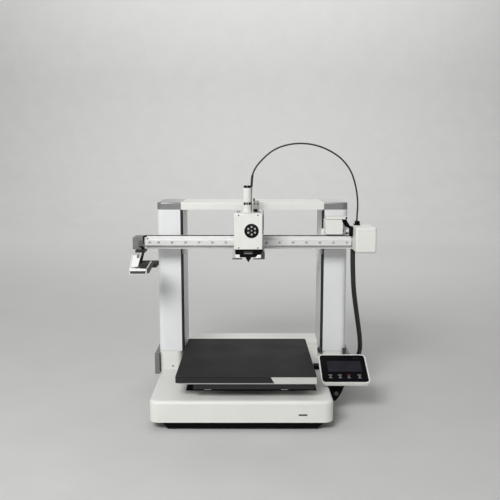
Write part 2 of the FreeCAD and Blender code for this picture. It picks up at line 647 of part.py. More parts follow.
def toolhead_shell():
    x0, x1 = HEAD_X - HEAD_HALF_W, HEAD_X + HEAD_HALF_W
    front = box(x0, x1, HEAD_Y0 + COVER_T, HEAD_STEP_Y, HEAD_Z0, HEAD_Z1)
    middle = box(x0, x1, HEAD_STEP_Y - 1, XRAIL_FACE - 5.2, HEAD_Z0, HEAD_STEP_Z)
    rear = box(x0, x1, XRAIL_FACE - 6, -46, 349, HEAD_STEP_Z)
    body = front.fuse([middle, rear])
    body = body.makeFillet(2.0, [e for e in body.Edges if abs(e.tangentAt(e.FirstParameter).y) > 0.99
                                 and e.BoundBox.ZMin > HEAD_Z1 - 1])
    front_hollow = box(x0 + 2, x1 - 2, HEAD_Y0, HEAD_STEP_Y - 2, HEAD_Z0 - 1, HEAD_Z1 - 2)
    hollow = box(x0 + 2, x1 - 2, HEAD_Y0, XRAIL_FACE - 7.2, HEAD_Z0 - 1, HEAD_STEP_Z - 2)
    rear_hollow = box(x0 + 2, x1 - 2, XRAIL_FACE - 8, -48, 351, HEAD_STEP_Z - 2)
    grilles = []
    for i in range(6):
        z = 328 + i * 3.4
        grilles.append(box(x0 - 1, x0 + 3, -130, -106, z, z + 1.8))
        grilles.append(box(x1 - 3, x1 + 1, -130, -106, z, z + 1.8))
    lever_slot = box(x1 - 3, x1 + 1, HEAD_Y0 + 9, HEAD_Y0 + 25, 354, HEAD_Z1 + 1)
    body = body.cut([front_hollow, hollow, rear_hollow, lever_slot] + grilles)
    clamp = box(HEAD_X - 8, HEAD_X + 8, XBELT_Y - 5, XBELT_Y + 4.5, XBELT_TOP + 0.5, 350)
    return body.fuse(clamp)


def toolhead_cover():
    x0, x1 = HEAD_X - HEAD_HALF_W, HEAD_X + HEAD_HALF_W
    cover = box(x0, x1, HEAD_Y0, HEAD_Y0 + COVER_T - 0.2, HEAD_Z0, HEAD_Z1)
    cover = cover.makeFillet(1.6, [e for e in cover.Edges if e.BoundBox.YMax < HEAD_Y0 + 0.1])
    inside = box(x0 + 2, x1 - 2, HEAD_Y0 + 2.5, HEAD_Y0 + COVER_T, HEAD_Z0 + 2, HEAD_Z1 - 2)
    window = cyl(GEAR_R + 1.3, 6, (GEAR_X, HEAD_Y0 - 1, GEAR_Z), (0, 1, 0))
    holes = [cyl(1.3, 6, (HEAD_X + dx, HEAD_Y0 - 1, z), (0, 1, 0))
             for dx in (-17.7, 17.7) for z in (HEAD_Z1 - 3, HEAD_Z0 + 3)]
    return cover.cut([inside, window] + holes)


def spur_gear(teeth, pitch_r, tooth_h, width, centre, phase):
    """Straight-cut gear with its axis along Y; each tooth is four outline points."""
    points = []
    root = pitch_r - tooth_h * 0.6
    tip = pitch_r + tooth_h * 0.4
    step = 2 * math.pi / teeth
    for i in range(teeth):
        start = phase + i * step
        for share, radius in ((-0.24, root), (-0.10, tip), (0.10, tip), (0.24, root)):
            angle = start + share * step
            x = centre[0] + radius * math.cos(angle)
            z = centre[2] + radius * math.sin(angle)
            points.append((x, centre[1], z))
    return prism(points, (0, width, 0))


def extruder_gear():
    centre = (GEAR_X, HEAD_Y0 + 4.2, GEAR_Z)
    gear = spur_gear(GEAR_TEETH, GEAR_R, 0.8, 3.4, centre, 0.0)
    holes = []
    for i in range(6):
        angle = math.radians(30 + 60 * i)
        place = (GEAR_X + 7.0 * math.cos(angle), HEAD_Y0 + 3, GEAR_Z + 7.0 * math.sin(angle))
        holes.append(cyl(2.1, 6, place, (0, 1, 0)))
    shaft = cyl(2.5, 24, (GEAR_X, HEAD_Y0 + 7, GEAR_Z), (0, 1, 0))
    hob = cyl(4.5, 7, (GEAR_X, HEAD_Y0 + 16, GEAR_Z), (0, 1, 0))
    bore = cyl(1.5, 3.5, (GEAR_X, HEAD_Y0 + 4, GEAR_Z), (0, 1, 0))
    return gear.cut(holes + [bore]).fuse([shaft, hob])


def motor_pinion():
    pinion = spur_gear(PINION_TEETH, PINION_R, 0.8, 3.4, (GEAR_X, HEAD_Y0 + 4.2, PINION_Z), math.pi / 2)
    shaft = cyl(1.2, 16, (GEAR_X, HEAD_Y0 + 5, PINION_Z), (0, 1, 0))
    return pinion.fuse(shaft)


def extruder_body():
    housing = box(HEAD_X - 16, HEAD_X + 17, -136.5, -104, PINION_Z - 1, HEAD_STEP_Z - 4)
    room = cyl(5.2, 9, (GEAR_X, HEAD_Y0 + 15, GEAR_Z), (0, 1, 0))
    bores = [cyl(2.56, 24.2, (GEAR_X, -137.5, GEAR_Z), (0, 1, 0)),
             cyl(1.5, 18, (GEAR_X, -137.5, PINION_Z), (0, 1, 0))]
    path = cyl(1.2, 60, (HEAD_X, NOZZLE_Y - 4, 330), (0, 0, 1))
    motor = cyl(10.5, 26, (GEAR_X, -112, PINION_Z + 10), (0, 1, 0))
    return housing.fuse(motor).cut([room, path] + bores)


def hotend():
    """Finned cooler, thin neck and heater block in one clamped stack."""
    pieces = [cyl(3.0, PINION_Z - 1.1 - 318, (HEAD_X, NOZZLE_Y, 318), (0, 0, 1))]
    for i in range(5):
        z = 323.5 + i * 3.4
        pieces.append(box(HEAD_X - 11, HEAD_X + 11, NOZZLE_Y - 10, NOZZLE_Y + 10, z, z + 1.7))
    pieces.append(box(HEAD_X - 9, HEAD_X + 9, NOZZLE_Y - 11, NOZZLE_Y + 11, 308, 320))
    body = pieces[0].fuse(pieces[1:])
    return body.cut([cyl(1.0, 60, (HEAD_X, NOZZLE_Y, 300), (0, 0, 1)),
                     cyl(3.02, 8, (HEAD_X, NOZZLE_Y, 307), (0, 0, 1))])


def nozzle():
    cone = Part.makeCone(0.6, 4.6, 6.5, V(HEAD_X, NOZZLE_Y, NOZZLE_TIP), V(0, 0, 1))
    collar = cyl(5.0, 7.1, (HEAD_X, NOZZLE_Y, NOZZLE_TIP + 6.5), (0, 0, 1))
    thread = cyl(3.0, 6, (HEAD_X, NOZZLE_Y, NOZZLE_TIP + 13), (0, 0, 1))
    bore = cyl(0.25, 25, (HEAD_X, NOZZLE_Y, NOZZLE_TIP - 1), (0, 0, 1))
    return cone.fuse([collar, thread]).cut(bore)


def fan_duct():
    """Black ring duct around the heater block, open at the front middle."""
    outer = prism([(-32, HEAD_Y0 + 4, HEAD_Z0 - 0.2), (17, HEAD_Y0 + 4, HEAD_Z0 - 0.2),
                   (20, HEAD_Y0 + 4, 314.5), (10, HEAD_Y0 + 4, 308), (-25, HEAD_Y0 + 4, 308),
                   (-32, HEAD_Y0 + 4, 314.5)], (0, 55, 0))
    well = box(HEAD_X - 11, HEAD_X + 11, HEAD_Y0 + 10, -92, 300, HEAD_Z0 + 1)
    mouth = box(HEAD_X - 9, HEAD_X + 9, HEAD_Y0 + 3, HEAD_Y0 + 11, 313.4, 320)
    return outer.cut([well, mouth])


def side_ducts():
    left = prism([(-38, -138, 321), (-32.2, -138, 321), (-32.2, -138, 314.4), (-25.2, -138, 307.8),
                  (-25.2, -138, 305.5), (-38, -138, 305.5)], (0, 44, 0))
    right = prism([(22.5, -138, 321), (18.9, -138, 321), (20.3, -138, 314.2), (10.4, -138, 307.8),
                   (10.4, -138, 305.5), (22.5, -138, 305.5)], (0, 44, 0))
    return group([left, right])


def cutter_lever():
    """Thin sprung lever on the toolhead's right side, hinged near its lower end."""
    x = HEAD_X + HEAD_HALF_W + 0.4
    blade = prism([(x, HEAD_Y0 + 10, 350), (x + 1.4, HEAD_Y0 + 10, 350), (x + 2.4, HEAD_Y0 + 10, 366),
                   (x + 2.4, HEAD_Y0 + 10, 395), (x, HEAD_Y0 + 10, 395)], (0, 14, 0))
    pin = cyl(1.3, 14, (x + 1.1, HEAD_Y0 + 10, 352), (0, 1, 0))
    return blade.fuse(pin)


def fan_wheel(x0, y, z, radius, thick, blades):
    hub = cyl(radius * 0.42, thick, (x0, y, z), (1, 0, 0))
    pieces = []
    for i in range(blades):
        blade = box(x0 + 0.8, x0 + thick - 0.8, y - 0.6, y + 0.6, z + radius * 0.3, z + radius)
        blade.rotate(V(x0, y, z), V(1, 0, 0), 360.0 * i / blades)
        pieces.append(blade)
    return hub.fuse(pieces)


def heatsink_fan():
    return fan_wheel(HEAD_X - HEAD_HALF_W + 2.6, FAN_Y, FAN_Z, FAN_R, 4.6, 7)


def part_fan():
    return fan_wheel(HEAD_X + HEAD_HALF_W - 7.2, FAN_Y, FAN_Z, FAN_R, 4.6, 11)


def filament_hub():
    body = cyl(HUB_R, HUB_TOP - HEAD_STEP_Z, (HUB_X, HUB_Y, HEAD_STEP_Z), (0, 0, 1))
    skirt = Part.makeCone(HUB_R + 2.4, HUB_R, 12, V(HUB_X, HUB_Y, HEAD_STEP_Z), V(0, 0, 1))
    body = body.fuse(skirt).cut(hub_band(HUB_R + 2))
    for x, y in inlet_places():
        body = body.cut(cyl(FITTING_R + 0.05, 12, (x, y, HUB_TOP - 11), (0, 0, 1)))
    return body


def hub_band(outer_r):
    """Ring-shaped room round the hub's waist."""
    height = BAND_Z1 - BAND_Z0
    return cyl(outer_r, height, (HUB_X, HUB_Y, BAND_Z0), (0, 0, 1)).cut(
        cyl(BAND_CORE_R, height, (HUB_X, HUB_Y, BAND_Z0), (0, 0, 1)))


def inlet_places():
    return [(HUB_X + sx * INLET_DX, HUB_Y + sy * INLET_DX) for sx in (-1, 1) for sy in (-1, 1)]


def hub_fittings():
    """Dark band round the hub's waist and four push-in tube fittings on its top."""
    solids = [hub_band(HUB_R - 1.4)]
    for x, y in inlet_places():
        stem = cyl(FITTING_R, 10.8, (x, y, HUB_TOP - 10.9), (0, 0, 1))
        collar = cyl(3.2, 4.4, (x, y, HUB_TOP), (0, 0, 1))
        feed = cyl(FEED_R, 12, (x, y, HUB_TOP - 11), (0, 0, 1))
        seat = cyl(INLET_R, 5, (x, y, HUB_TOP + INLET_STEP), (0, 0, 1))
        solids.append(stem.fuse(collar).cut([feed, seat]))
    return group(solids)


def hub_bracket():
    """Grey metal bracket and connector block beside the hub."""
    base = HEAD_STEP_Z
    plate = box(0.9, 13, HUB_Y - 4, HUB_Y - 2.4, base, 409)
    foot = box(0.9, 13, HUB_Y - 4, HUB_Y + 8, base, base + 2)
    block = box(4.0, 12, HUB_Y - 2.4, HUB_Y + 6, base + 2, 398)
    riser = box(CABLE_X, 5.4, CABLE_Y - 2, CABLE_Y + 2.6, base, base + 5)
    gland = cyl(2.2, CABLE_FOOT - base, (CABLE_X, CABLE_Y, base), (0, 0, 1))
    return plate.fuse([foot, block, riser, gland])


# ---------------------------------------------------------------- screen
def tilted(shape):
    """From the screen's flat frame to its place; there the glass face is z = 0 and its front edge y = 0."""
    shape = shape.copy()
    shape.rotate(V(0, 0, 0), V(1, 0, 0), SCREEN_TILT)
    shape.translate(V(SCREEN_X, SCREEN_Y, SCREEN_Z))
    return shape


def screen_shell():
    half = SCREEN_W / 2 + 2.6
    body = box(-half, half, -2.6, SCREEN_L + 2.6, -SCREEN_T, 0)
    body = round_edges(body, 9.0, "z")
    body = body.makeFillet(3.0, [e for e in body.Edges if e.BoundBox.ZMax < -SCREEN_T + 0.1])
    seat = round_edges(box(-SCREEN_W / 2 - 0.1, SCREEN_W / 2 + 0.1, -0.1, SCREEN_L + 0.1, -2, 1), 6.6, "z")
    room = round_edges(box(-38, 38, 6, SCREEN_L - 6, -SCREEN_T + 2, -1), 4.0, "z")
    body = tilted(body.cut([seat, room]))
    lug = box(SCREEN_X - 14, SCREEN_X - 4, SCREEN_PIVOT_Y - 5, SCREEN_PIVOT_Y + 5, SCREEN_PIVOT_Z - 2, 76)
    lug = lug.fuse(cyl(5.0, 10, (SCREEN_X - 14, SCREEN_PIVOT_Y, SCREEN_PIVOT_Z - 2), (1, 0, 0)))
    lug = lug.cut(tilted(box(-60, 60, -20, 100, -SCREEN_T + 1.5, 40)))
    lug = lug.cut(cyl(2.06, 12, (SCREEN_X - 15, SCREEN_PIVOT_Y, SCREEN_PIVOT_Z - 2), (1, 0, 0)))
    return body.fuse(lug)


def screen_glass():
    glass = round_edges(box(-SCREEN_W / 2, SCREEN_W / 2, 0, SCREEN_L, -2, 0), 6.5, "z")
    return tilted(glass)


def screen_arm():
    """Black bracket on the base's right side that carries the screen's hinge."""
    y0, y1 = SCREEN_PIVOT_Y - 7, SCREEN_PIVOT_Y + 7
    outline = [(BASE_NOTCH_X, 27), (154, 22.5), (159.5, 21.7), (164, 25), (169, 32), (173, 39.5), (178, 53),
               (178, 58), (BASE_NOTCH_X, 58)]
    plate = prism([(x, y0, z) for x, z in outline], (0, y1 - y0, 0))
    ears = []
    for x0 in (SCREEN_X - 18.4, SCREEN_X - 3.6):
        ear = box(x0, x0 + 4, SCREEN_PIVOT_Y - 5, SCREEN_PIVOT_Y + 5, 50, SCREEN_PIVOT_Z - 2)
        ears.append(ear.fuse(cyl(5.0, 4, (x0, SCREEN_PIVOT_Y, SCREEN_PIVOT_Z - 2), (1, 0, 0))))
    pin = cyl(2.0, 19, (SCREEN_X - 18.6, SCREEN_PIVOT_Y, SCREEN_PIVOT_Z - 2), (1, 0, 0))
    knob = cyl(4.6, 2.5, (158.7, y0 - 2.5, 43.4), (0, 1, 0))
    return plate.fuse(ears + [pin, knob])


# ---------------------------------------------------------------- cords
def cord(points, diameter, label):
    """Round cord along straight runs joined by tangent arcs; prints its length and radii."""
    pts = [V(*p) for p in points]
    edges = []
    here = pts[0]
    radii = []
    length = 0.0
    for before, corner, after in zip(pts, pts[1:], pts[2:]):
        back = (before - corner).normalize()
        ahead = (after - corner).normalize()
        turn = math.pi - back.getAngle(ahead)
        short = min((before - corner).Length, (after - corner).Length)
        radius = 0.45 * short / math.tan(turn / 2)
        start = corner + back * (0.45 * short)
        end = corner + ahead * (0.45 * short)
        to_centre = (back + ahead).normalize() * (radius / math.cos(turn / 2))
        middle = corner + to_centre - to_centre.normalize() * radius
        edges.append(Part.LineSegment(here, start).toShape())
        edges.append(Part.Arc(start, middle, end).toShape())
        length += (start - here).Length + radius * turn
        radii.append(round(radius, 1))
        here = end
    edges.append(Part.LineSegment(here, pts[-1]).toShape())
    length += (pts[-1] - here).Length
    path = Part.Wire(edges)
    ring = Part.makeCircle(diameter / 2, pts[0], (pts[1] - pts[0]).normalize())
    tube = path.makePipeShell([Part.Wire([ring])], True, False)
    expected = math.pi * diameter ** 2 / 4 * length
    print(label, "length", round(length, 1), "volume ratio", round(tube.Volume / expected, 4), "radii", radii)
    return tube


HARNESS_ROUTE = [
    (HARNESS_X, HARNESS_Y, HARNESS_TOP), (HARNESS_X, HARNESS_Y, 293), (201.6, -46, 262), (204.5, -42, 226),
    (211, -32, 190), (218.5, -20, 152), (226, -6, 114), (229.5, 10, 82), (222, 24, 56), (206, 32, 45),
    (188.5, 34, 44),
]

CABLE_ROUTE = [
    (CABLE_X, CABLE_Y, CABLE_FOOT), (CABLE_X, CABLE_Y, 446), (2.4, CABLE_Y, 467), (15.5, CABLE_Y, 484.5),
    (38, CABLE_Y, 505), (64, CABLE_Y, 515.5), (93, CABLE_Y, 519), (122, CABLE_Y - 0.5, 515.5),
    (149, CABLE_Y - 1, 505), (172.5, CABLE_Y - 1.5, 489.5), (190.5, CABLE_Y - 2, 467),
    (200, CABLE_Y - 2.5, 440), (204.6, PLUG_Y, 414), (205.4, PLUG_Y, 394), (PLUG_X, PLUG_Y, 379),
    (PLUG_X, PLUG_Y, PLUG_TOP),
]


def harness():
    return cord(HARNESS_ROUTE, HARNESS_D, "harness")


def toolhead_cable():
    return cord(CABLE_ROUTE, CABLE_D, "toolhead cable")


# ---------------------------------------------------------------- everything
PARTS = {
    "base_cover": base_cover,
    "base_tray": base_tray,
    "feet": feet,
    "rail_deck": rail_deck,
    "rail_bearings": rail_bearings,
    "frame_motors": frame_motors,
    "power_supply": power_supply,
    "mainboard": mainboard,
    "power_inlet": power_inlet,
    "power_rocker": power_rocker,
    "column_cover_right": column_cover_right,
    "column_cover_left": lambda: mirrored(column_cover_right()),
    "column_profiles": column_profiles,
    "top_beam": top_beam,
    "beam_end_caps": beam_end_caps,
    "z_rods": z_rods,
    "column_foot_blocks": column_foot_blocks,
    "z_screw_left": lambda: z_screw(-1),
    "z_screw_right": lambda: z_screw(1),
    "y_belt": lambda: belt_loop(Y_IDLER_Y, Y_PULLEY_Y, Y_BELT_Z, "y", BASE_MID_X),
    "y_pulley": lambda: pulley((BASE_MID_X, Y_PULLEY_Y, Y_BELT_Z), (1, 0, 0), -5, 40),
    "y_idler": lambda: pulley((BASE_MID_X, Y_IDLER_Y, Y_BELT_Z), (1, 0, 0), -7, 7),
    "bed_carriage": bed_carriage,
    "bed_rails": bed_rails,
    "heatbed": heatbed,
    "build_plate": build_plate,
    "x_beam": x_beam,
    "x_rail": x_rail,
    "x_rail_screws": x_rail_screws,
    "z_carriage_left": lambda: z_carriage(-1),
    "z_carriage_right": lambda: z_carriage(1),
    "x_motor": x_motor,
    "motor_box": motor_box,
    "left_end_cap": left_end_cap,
    "x_belt": lambda: belt_loop(XIDLER_X, XPULLEY_X, XBELT_Z, "x", XBELT_Y),
    "x_pulley": lambda: pulley((XPULLEY_X, XBELT_Y, XBELT_Z), (0, 1, 0), -45, 6),
    "x_idler": lambda: pulley((XIDLER_X, XBELT_Y, XBELT_Z), (0, 1, 0), -8, 10),
    "wiper_bracket": wiper_bracket,
    "wiper_pad": wiper_pad,
    "rail_block": rail_block,
    "toolhead_shell": toolhead_shell,
    "toolhead_cover": toolhead_cover,
    "extruder_gear": extruder_gear,
    "motor_pinion": motor_pinion,
    "extruder_body": extruder_body,
    "hotend": hotend,
    "nozzle": nozzle,
    "fan_duct": fan_duct,
    "side_ducts": side_ducts,
    "cutter_lever": cutter_lever,
    "heatsink_fan": heatsink_fan,
    "part_fan": part_fan,
    "filament_hub": filament_hub,
    "hub_fittings": hub_fittings,
    "hub_bracket": hub_bracket,
    "screen_shell": screen_shell,
    "screen_glass": screen_glass,
    "screen_arm": screen_arm,
    "harness": harness,
    "toolhead_cable": toolhead_cable,
}

for part_name, make in PARTS.items():
    save(part_name, make())
print(len(PARTS), "parts written")
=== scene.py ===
"""Looks of a desktop filament printer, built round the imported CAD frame. Lengths are in metres."""

import math

import bmesh
import bpy
from mathutils import Matrix, Vector


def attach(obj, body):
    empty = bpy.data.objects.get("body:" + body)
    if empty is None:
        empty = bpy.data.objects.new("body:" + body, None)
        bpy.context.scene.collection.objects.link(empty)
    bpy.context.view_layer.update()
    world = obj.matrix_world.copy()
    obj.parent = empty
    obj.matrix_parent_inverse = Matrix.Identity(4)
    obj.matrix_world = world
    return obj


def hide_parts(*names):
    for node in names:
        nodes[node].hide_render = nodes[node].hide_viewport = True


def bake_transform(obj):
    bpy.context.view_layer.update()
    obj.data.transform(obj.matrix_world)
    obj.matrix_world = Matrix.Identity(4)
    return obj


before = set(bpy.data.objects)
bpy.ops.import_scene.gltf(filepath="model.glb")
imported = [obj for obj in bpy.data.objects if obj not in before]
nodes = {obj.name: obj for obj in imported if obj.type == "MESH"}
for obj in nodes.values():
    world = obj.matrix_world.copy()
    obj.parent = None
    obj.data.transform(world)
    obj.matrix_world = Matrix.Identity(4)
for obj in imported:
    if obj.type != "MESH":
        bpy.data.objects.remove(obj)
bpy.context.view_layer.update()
MM = 0.001


# ---------------------------------------------------------------- camera, light, stage
CAMERA_PLACE = (-0.0049, -1.332, 0.4864)
CAMERA_PITCH_DOWN = 7.88            # degrees
LENS = 46.8                         # mm
SENSOR = 36.0

# name, place, target, size, power in watts
STUDIO_LIGHTS = [
    ("key_light", (-0.60, -1.55, 1.40), (0.0, -0.1, 0.2), (0.8, 0.6), 28.0),
    ("front_light", (0.3, -2.7, 0.6), (0, 0, 0.2), (2.0, 0.9), 1.0),
    ("left_light", (-1.6, -0.3, 0.9), (0, 0, 0.2), (0.9, 1.2), 3),
    ("right_light", (1.6, -0.2, 0.8), (0, 0, 0.2), (0.9, 1.2), 0.9),
    ("back_light", (0.3, 1.7, 1.2), (0, 0, 0.2), (1.4, 0.9), 4),
    ("far_light", (0.0, 2.4, 3.0), (0.0, 4.5, 0.9), (5.0, 1.6), 95),
]
SKY_COLOUR, SKY_STRENGTH = (0.80, 0.81, 0.80, 1), 0.36


def make_camera():
    data = bpy.data.cameras.new("camera")
    data.lens = LENS
    data.sensor_width = SENSOR
    data.clip_start = 0.01
    data.clip_end = 20
    camera = bpy.data.objects.new("camera", data)
    bpy.context.scene.collection.objects.link(camera)
    camera.location = CAMERA_PLACE
    camera.rotation_euler = (math.radians(90 - CAMERA_PITCH_DOWN), 0, 0)
    bpy.context.scene.camera = camera


def area_light(name, place, target, size, power):
    data = bpy.data.lights.new(name, "AREA")
    data.shape = "RECTANGLE"
    data.size, data.size_y = size
    data.energy = power
    light = bpy.data.objects.new(name, data)
    bpy.context.scene.collection.objects.link(light)
    light.location = place
    way = Vector(target) - Vector(place)
    light.rotation_euler = way.to_track_quat("-Z", "Y").to_euler()


def make_lights():
    for light in STUDIO_LIGHTS:
        area_light(*light)
    world = bpy.data.worlds.new("studio")
    bpy.context.scene.world = world
    world.use_nodes = True
    background = world.node_tree.nodes["Background"]
    background.inputs["Color"].default_value = SKY_COLOUR
    background.inputs["Strength"].default_value = SKY_STRENGTH
    bpy.context.scene.view_settings.view_transform = "Standard"


def make_floor():
    """Plain pale floor that sweeps up into a backdrop far behind the object."""
    half, wall_y, bend, top = 6.0, 4.5, 1.2, 6.0
    steps = 16
    profile = [(-half, 0.0)]
    for i in range(steps + 1):
        angle = math.pi / 2 * i / steps
        profile.append((wall_y - bend + bend * math.sin(angle), bend - bend * math.cos(angle)))
    profile.append((wall_y, top))
    verts = [(side * half, y, z) for y, z in profile for side in (-1, 1)]
    faces = [(2 * i, 2 * i + 1, 2 * i + 3, 2 * i + 2) for i in range(len(profile) - 1)]
    mesh = bpy.data.meshes.new("floor")
    mesh.from_pydata(verts, [], faces)
    mesh.polygons.foreach_set("use_smooth", [True] * len(mesh.polygons))
    floor = bpy.data.objects.new("floor", mesh)
    bpy.context.scene.collection.objects.link(floor)
    mesh.materials.append(plastic("floor_paint", (0.60, 0.60, 0.59), 0.75, 0.05, 9.0, 0.02, 0.15))


# ---------------------------------------------------------------- node helpers
NOISE_LOW, NOISE_HIGH = 0.3, 0.7


def new_material(name):
    material = bpy.data.materials.new(name)
    material.use_nodes = True
    tree = material.node_tree
    shader = tree.nodes["Principled BSDF"]
    return material, tree, shader


def add(tree, kind, **values):
    node = tree.nodes.new(kind)
    for key, value in values.items():
        if hasattr(node, key):
            setattr(node, key, value)
        else:
            node.inputs[key.replace("_", " ")].default_value = value
    return node


def object_coords(tree, scale=(1, 1, 1)):
    coords = add(tree, "ShaderNodeTexCoord")
    mapping = add(tree, "ShaderNodeMapping")
    mapping.inputs["Scale"].default_value = scale
    tree.links.new(coords.outputs["Object"], mapping.inputs["Vector"])
    return mapping.outputs["Vector"]


def noise(tree, vector, scale, detail=4.0, rough=0.55):
    node = add(tree, "ShaderNodeTexNoise")
    node.inputs["Scale"].default_value = scale
    node.inputs["Detail"].default_value = detail
    node.inputs["Roughness"].default_value = rough
    tree.links.new(vector, node.inputs["Vector"])
    return node.outputs["Fac"]


def remap(tree, value, low, high):
    """Stretches a noise, which stays mostly between its two usual limits, to low and high."""
    node = add(tree, "ShaderNodeMapRange")
    node.inputs["From Min"].default_value = NOISE_LOW
    node.inputs["From Max"].default_value = NOISE_HIGH
    node.inputs["To Min"].default_value = low
    node.inputs["To Max"].default_value = high
    tree.links.new(value, node.inputs["Value"])
    return node.outputs["Result"]


def mix_colour(tree, factor, a, b):
    node = add(tree, "ShaderNodeMix", data_type="RGBA", blend_type="MIX")
    factor_in, a_in, b_in = node.inputs[0], node.inputs[6], node.inputs[7]
    for socket, value in ((factor_in, factor), (a_in, a), (b_in, b)):
        if isinstance(value, bpy.types.NodeSocket):
            tree.links.new(value, socket)
        elif isinstance(value, (int, float)):
            socket.default_value = value
        else:
            socket.default_value = (*value, 1.0)
    return node.outputs[2]


def bump(tree, height, strength, distance, normal=None):
    node = add(tree, "ShaderNodeBump")
    node.inputs["Strength"].default_value = strength
    node.inputs["Distance"].default_value = distance
    tree.links.new(height, node.inputs["Height"])
    if normal is not None:
        tree.links.new(normal, node.inputs["Normal"])
    return node.outputs["Normal"]


def above(tree, value, limit):
    node = add(tree, "ShaderNodeMath", operation="GREATER_THAN")
    tree.links.new(value, node.inputs[0])
    node.inputs[1].default_value = limit
    return node.outputs[0]


def two_value_math(tree, operation, a, b):
    node = add(tree, "ShaderNodeMath", operation=operation)
    tree.links.new(a, node.inputs[0])
    tree.links.new(b, node.inputs[1])
    return node.outputs[0]


def both(tree, a, b):
    return two_value_math(tree, "MINIMUM", a, b)


def either(tree, a, b):
    return two_value_math(tree, "MAXIMUM", a, b)


def shade(colour, factor):
    return tuple(min(1.0, c * factor) for c in colour)


# ---------------------------------------------------------------- materials
SPARK_GRAIN = 1400.0                # noise scale of a spark-eroded mould's surface


def plastic(name, colour, rough, variation, grain, grain_strength, spread=0.06, ior=1.46,
            gloss=0.5):
    """Moulded plastic: faint blotches in colour and gloss, fine spark-eroded grain in the surface."""
    material, tree, shader = new_material(name)
    vector = object_coords(tree)
    blotch = noise(tree, vector, grain * 0.9, 3.0)
    fine = noise(tree, vector, SPARK_GRAIN, 2.0)
    tint = mix_colour(tree, remap(tree, blotch, 0.0, 1.0), shade(colour, 1 - variation), colour)
    tree.links.new(tint, shader.inputs["Base Color"])
    tree.links.new(remap(tree, blotch, rough - spread, rough + spread), shader.inputs["Roughness"])
    tree.links.new(bump(tree, fine, grain_strength, 0.0002), shader.inputs["Normal"])
    shader.inputs["IOR"].default_value = ior
    shader.inputs["Specular IOR Level"].default_value = gloss
    return material


def textured_plate():
    """Powder-coated spring steel: coarse sparkle grain with smoother, slightly worn patches."""
    material, tree, shader = new_material("plate_powder_coat")
    vector = object_coords(tree)
    grain = noise(tree, vector, 1500.0, 5.0, 0.7)
    cell = add(tree, "ShaderNodeTexVoronoi")
    cell.inputs["Scale"].default_value = 900.0
    tree.links.new(vector, cell.inputs["Vector"])
    wear = noise(tree, vector, 14.0, 5.0)
    base = mix_colour(tree, remap(tree, grain, 0.0, 1.0), (0.006, 0.006, 0.0065),
                      (0.017, 0.017, 0.018))
    worn = mix_colour(tree, remap(tree, wear, 0.0, 0.35), base, (0.022, 0.022, 0.023))
    tree.links.new(worn, shader.inputs["Base Color"])
    tree.links.new(remap(tree, wear, 0.62, 0.74), shader.inputs["Roughness"])
    shader.inputs["IOR"].default_value = 1.25
    normal = bump(tree, grain, 0.35, 0.0003)
    normal = bump(tree, cell.outputs["Distance"], 0.25, 0.0003, normal)
    tree.links.new(normal, shader.inputs["Normal"])
    return material


def brushed_metal(name, colour, rough, stretch, streaks=0.14, anisotropic=0.0, metallic=1.0):
    """Metal with fine lines along one axis: stretch holds the noise scale on each axis."""
    material, tree, shader = new_material(name)
    lines = noise(tree, object_coords(tree, stretch), 1.0, 6.0, 0.65)
    cloud = noise(tree, object_coords(tree), 22.0, 3.0)
    tint = mix_colour(tree, remap(tree, lines, 0.0, 1.0), shade(colour, 1 - streaks),
                      shade(colour, 1 + streaks * 0.5))
    tint = mix_colour(tree, remap(tree, cloud, 0.0, 0.25), tint, shade(colour, 0.82))
    tree.links.new(tint, shader.inputs["Base Color"])
    tree.links.new(remap(tree, lines, rough - 0.07, rough + 0.09), shader.inputs["Roughness"])
    tree.links.new(bump(tree, lines, 0.12, 0.0002), shader.inputs["Normal"])
    shader.inputs["Metallic"].default_value = metallic
    shader.inputs["Anisotropic"].default_value = anisotropic
    return material


def rubber(name, colour, rough=0.62, grain=700.0):
    material, tree, shader = new_material(name)
    vector = object_coords(tree)
    fine = noise(tree, vector, grain, 4.0)
    dust = noise(tree, vector, 35.0, 5.0)
    tint = mix_colour(tree, remap(tree, dust, 0.0, 0.5), colour, shade(colour, 2.2))
    tree.links.new(tint, shader.inputs["Base Color"])
    tree.links.new(remap(tree, dust, rough - 0.08, rough + 0.08), shader.inputs["Roughness"])
    tree.links.new(bump(tree, fine, 0.25, 0.0003), shader.inputs["Normal"])
    return material


def braided_sleeve(name, colour, pitch):
    """Woven cable sleeve: two crossing sets of diagonal threads."""
    material, tree, shader = new_material(name)
    height = None
    for slant in (1.0, -1.0):
        wave = add(tree, "ShaderNodeTexWave", wave_type="BANDS", bands_direction="DIAGONAL")
        wave.inputs["Scale"].default_value = pitch
        wave.inputs["Distortion"].default_value = 0.6
        tree.links.new(object_coords(tree, (slant, 1, 1)), wave.inputs["Vector"])
        if height is None:
            height = wave.outputs["Fac"]
        else:
            height = either(tree, height, wave.outputs["Fac"])
    tint = mix_colour(tree, height, shade(colour, 0.45), shade(colour, 1.5))
    tree.links.new(tint, shader.inputs["Base Color"])
    shader.inputs["Roughness"].default_value = 0.5
    tree.links.new(bump(tree, height, 0.5, 0.0004), shader.inputs["Normal"])
    return material


def glass_panel():
    """Polished black cover glass with faint smears in its gloss."""
    material, tree, shader = new_material("cover_glass")
    vector = object_coords(tree)
    smear = noise(tree, vector, 28.0, 6.0, 0.7)
    tint = mix_colour(tree, remap(tree, smear, 0.0, 1.0), (0.0035, 0.0035, 0.004),
                      (0.006, 0.006, 0.007))
    tree.links.new(tint, shader.inputs["Base Color"])
    tree.links.new(remap(tree, smear, 0.06, 0.16), shader.inputs["Roughness"])
    shader.inputs["IOR"].default_value = 1.3
    shader.inputs["Specular IOR Level"].default_value = 0.1
    return material


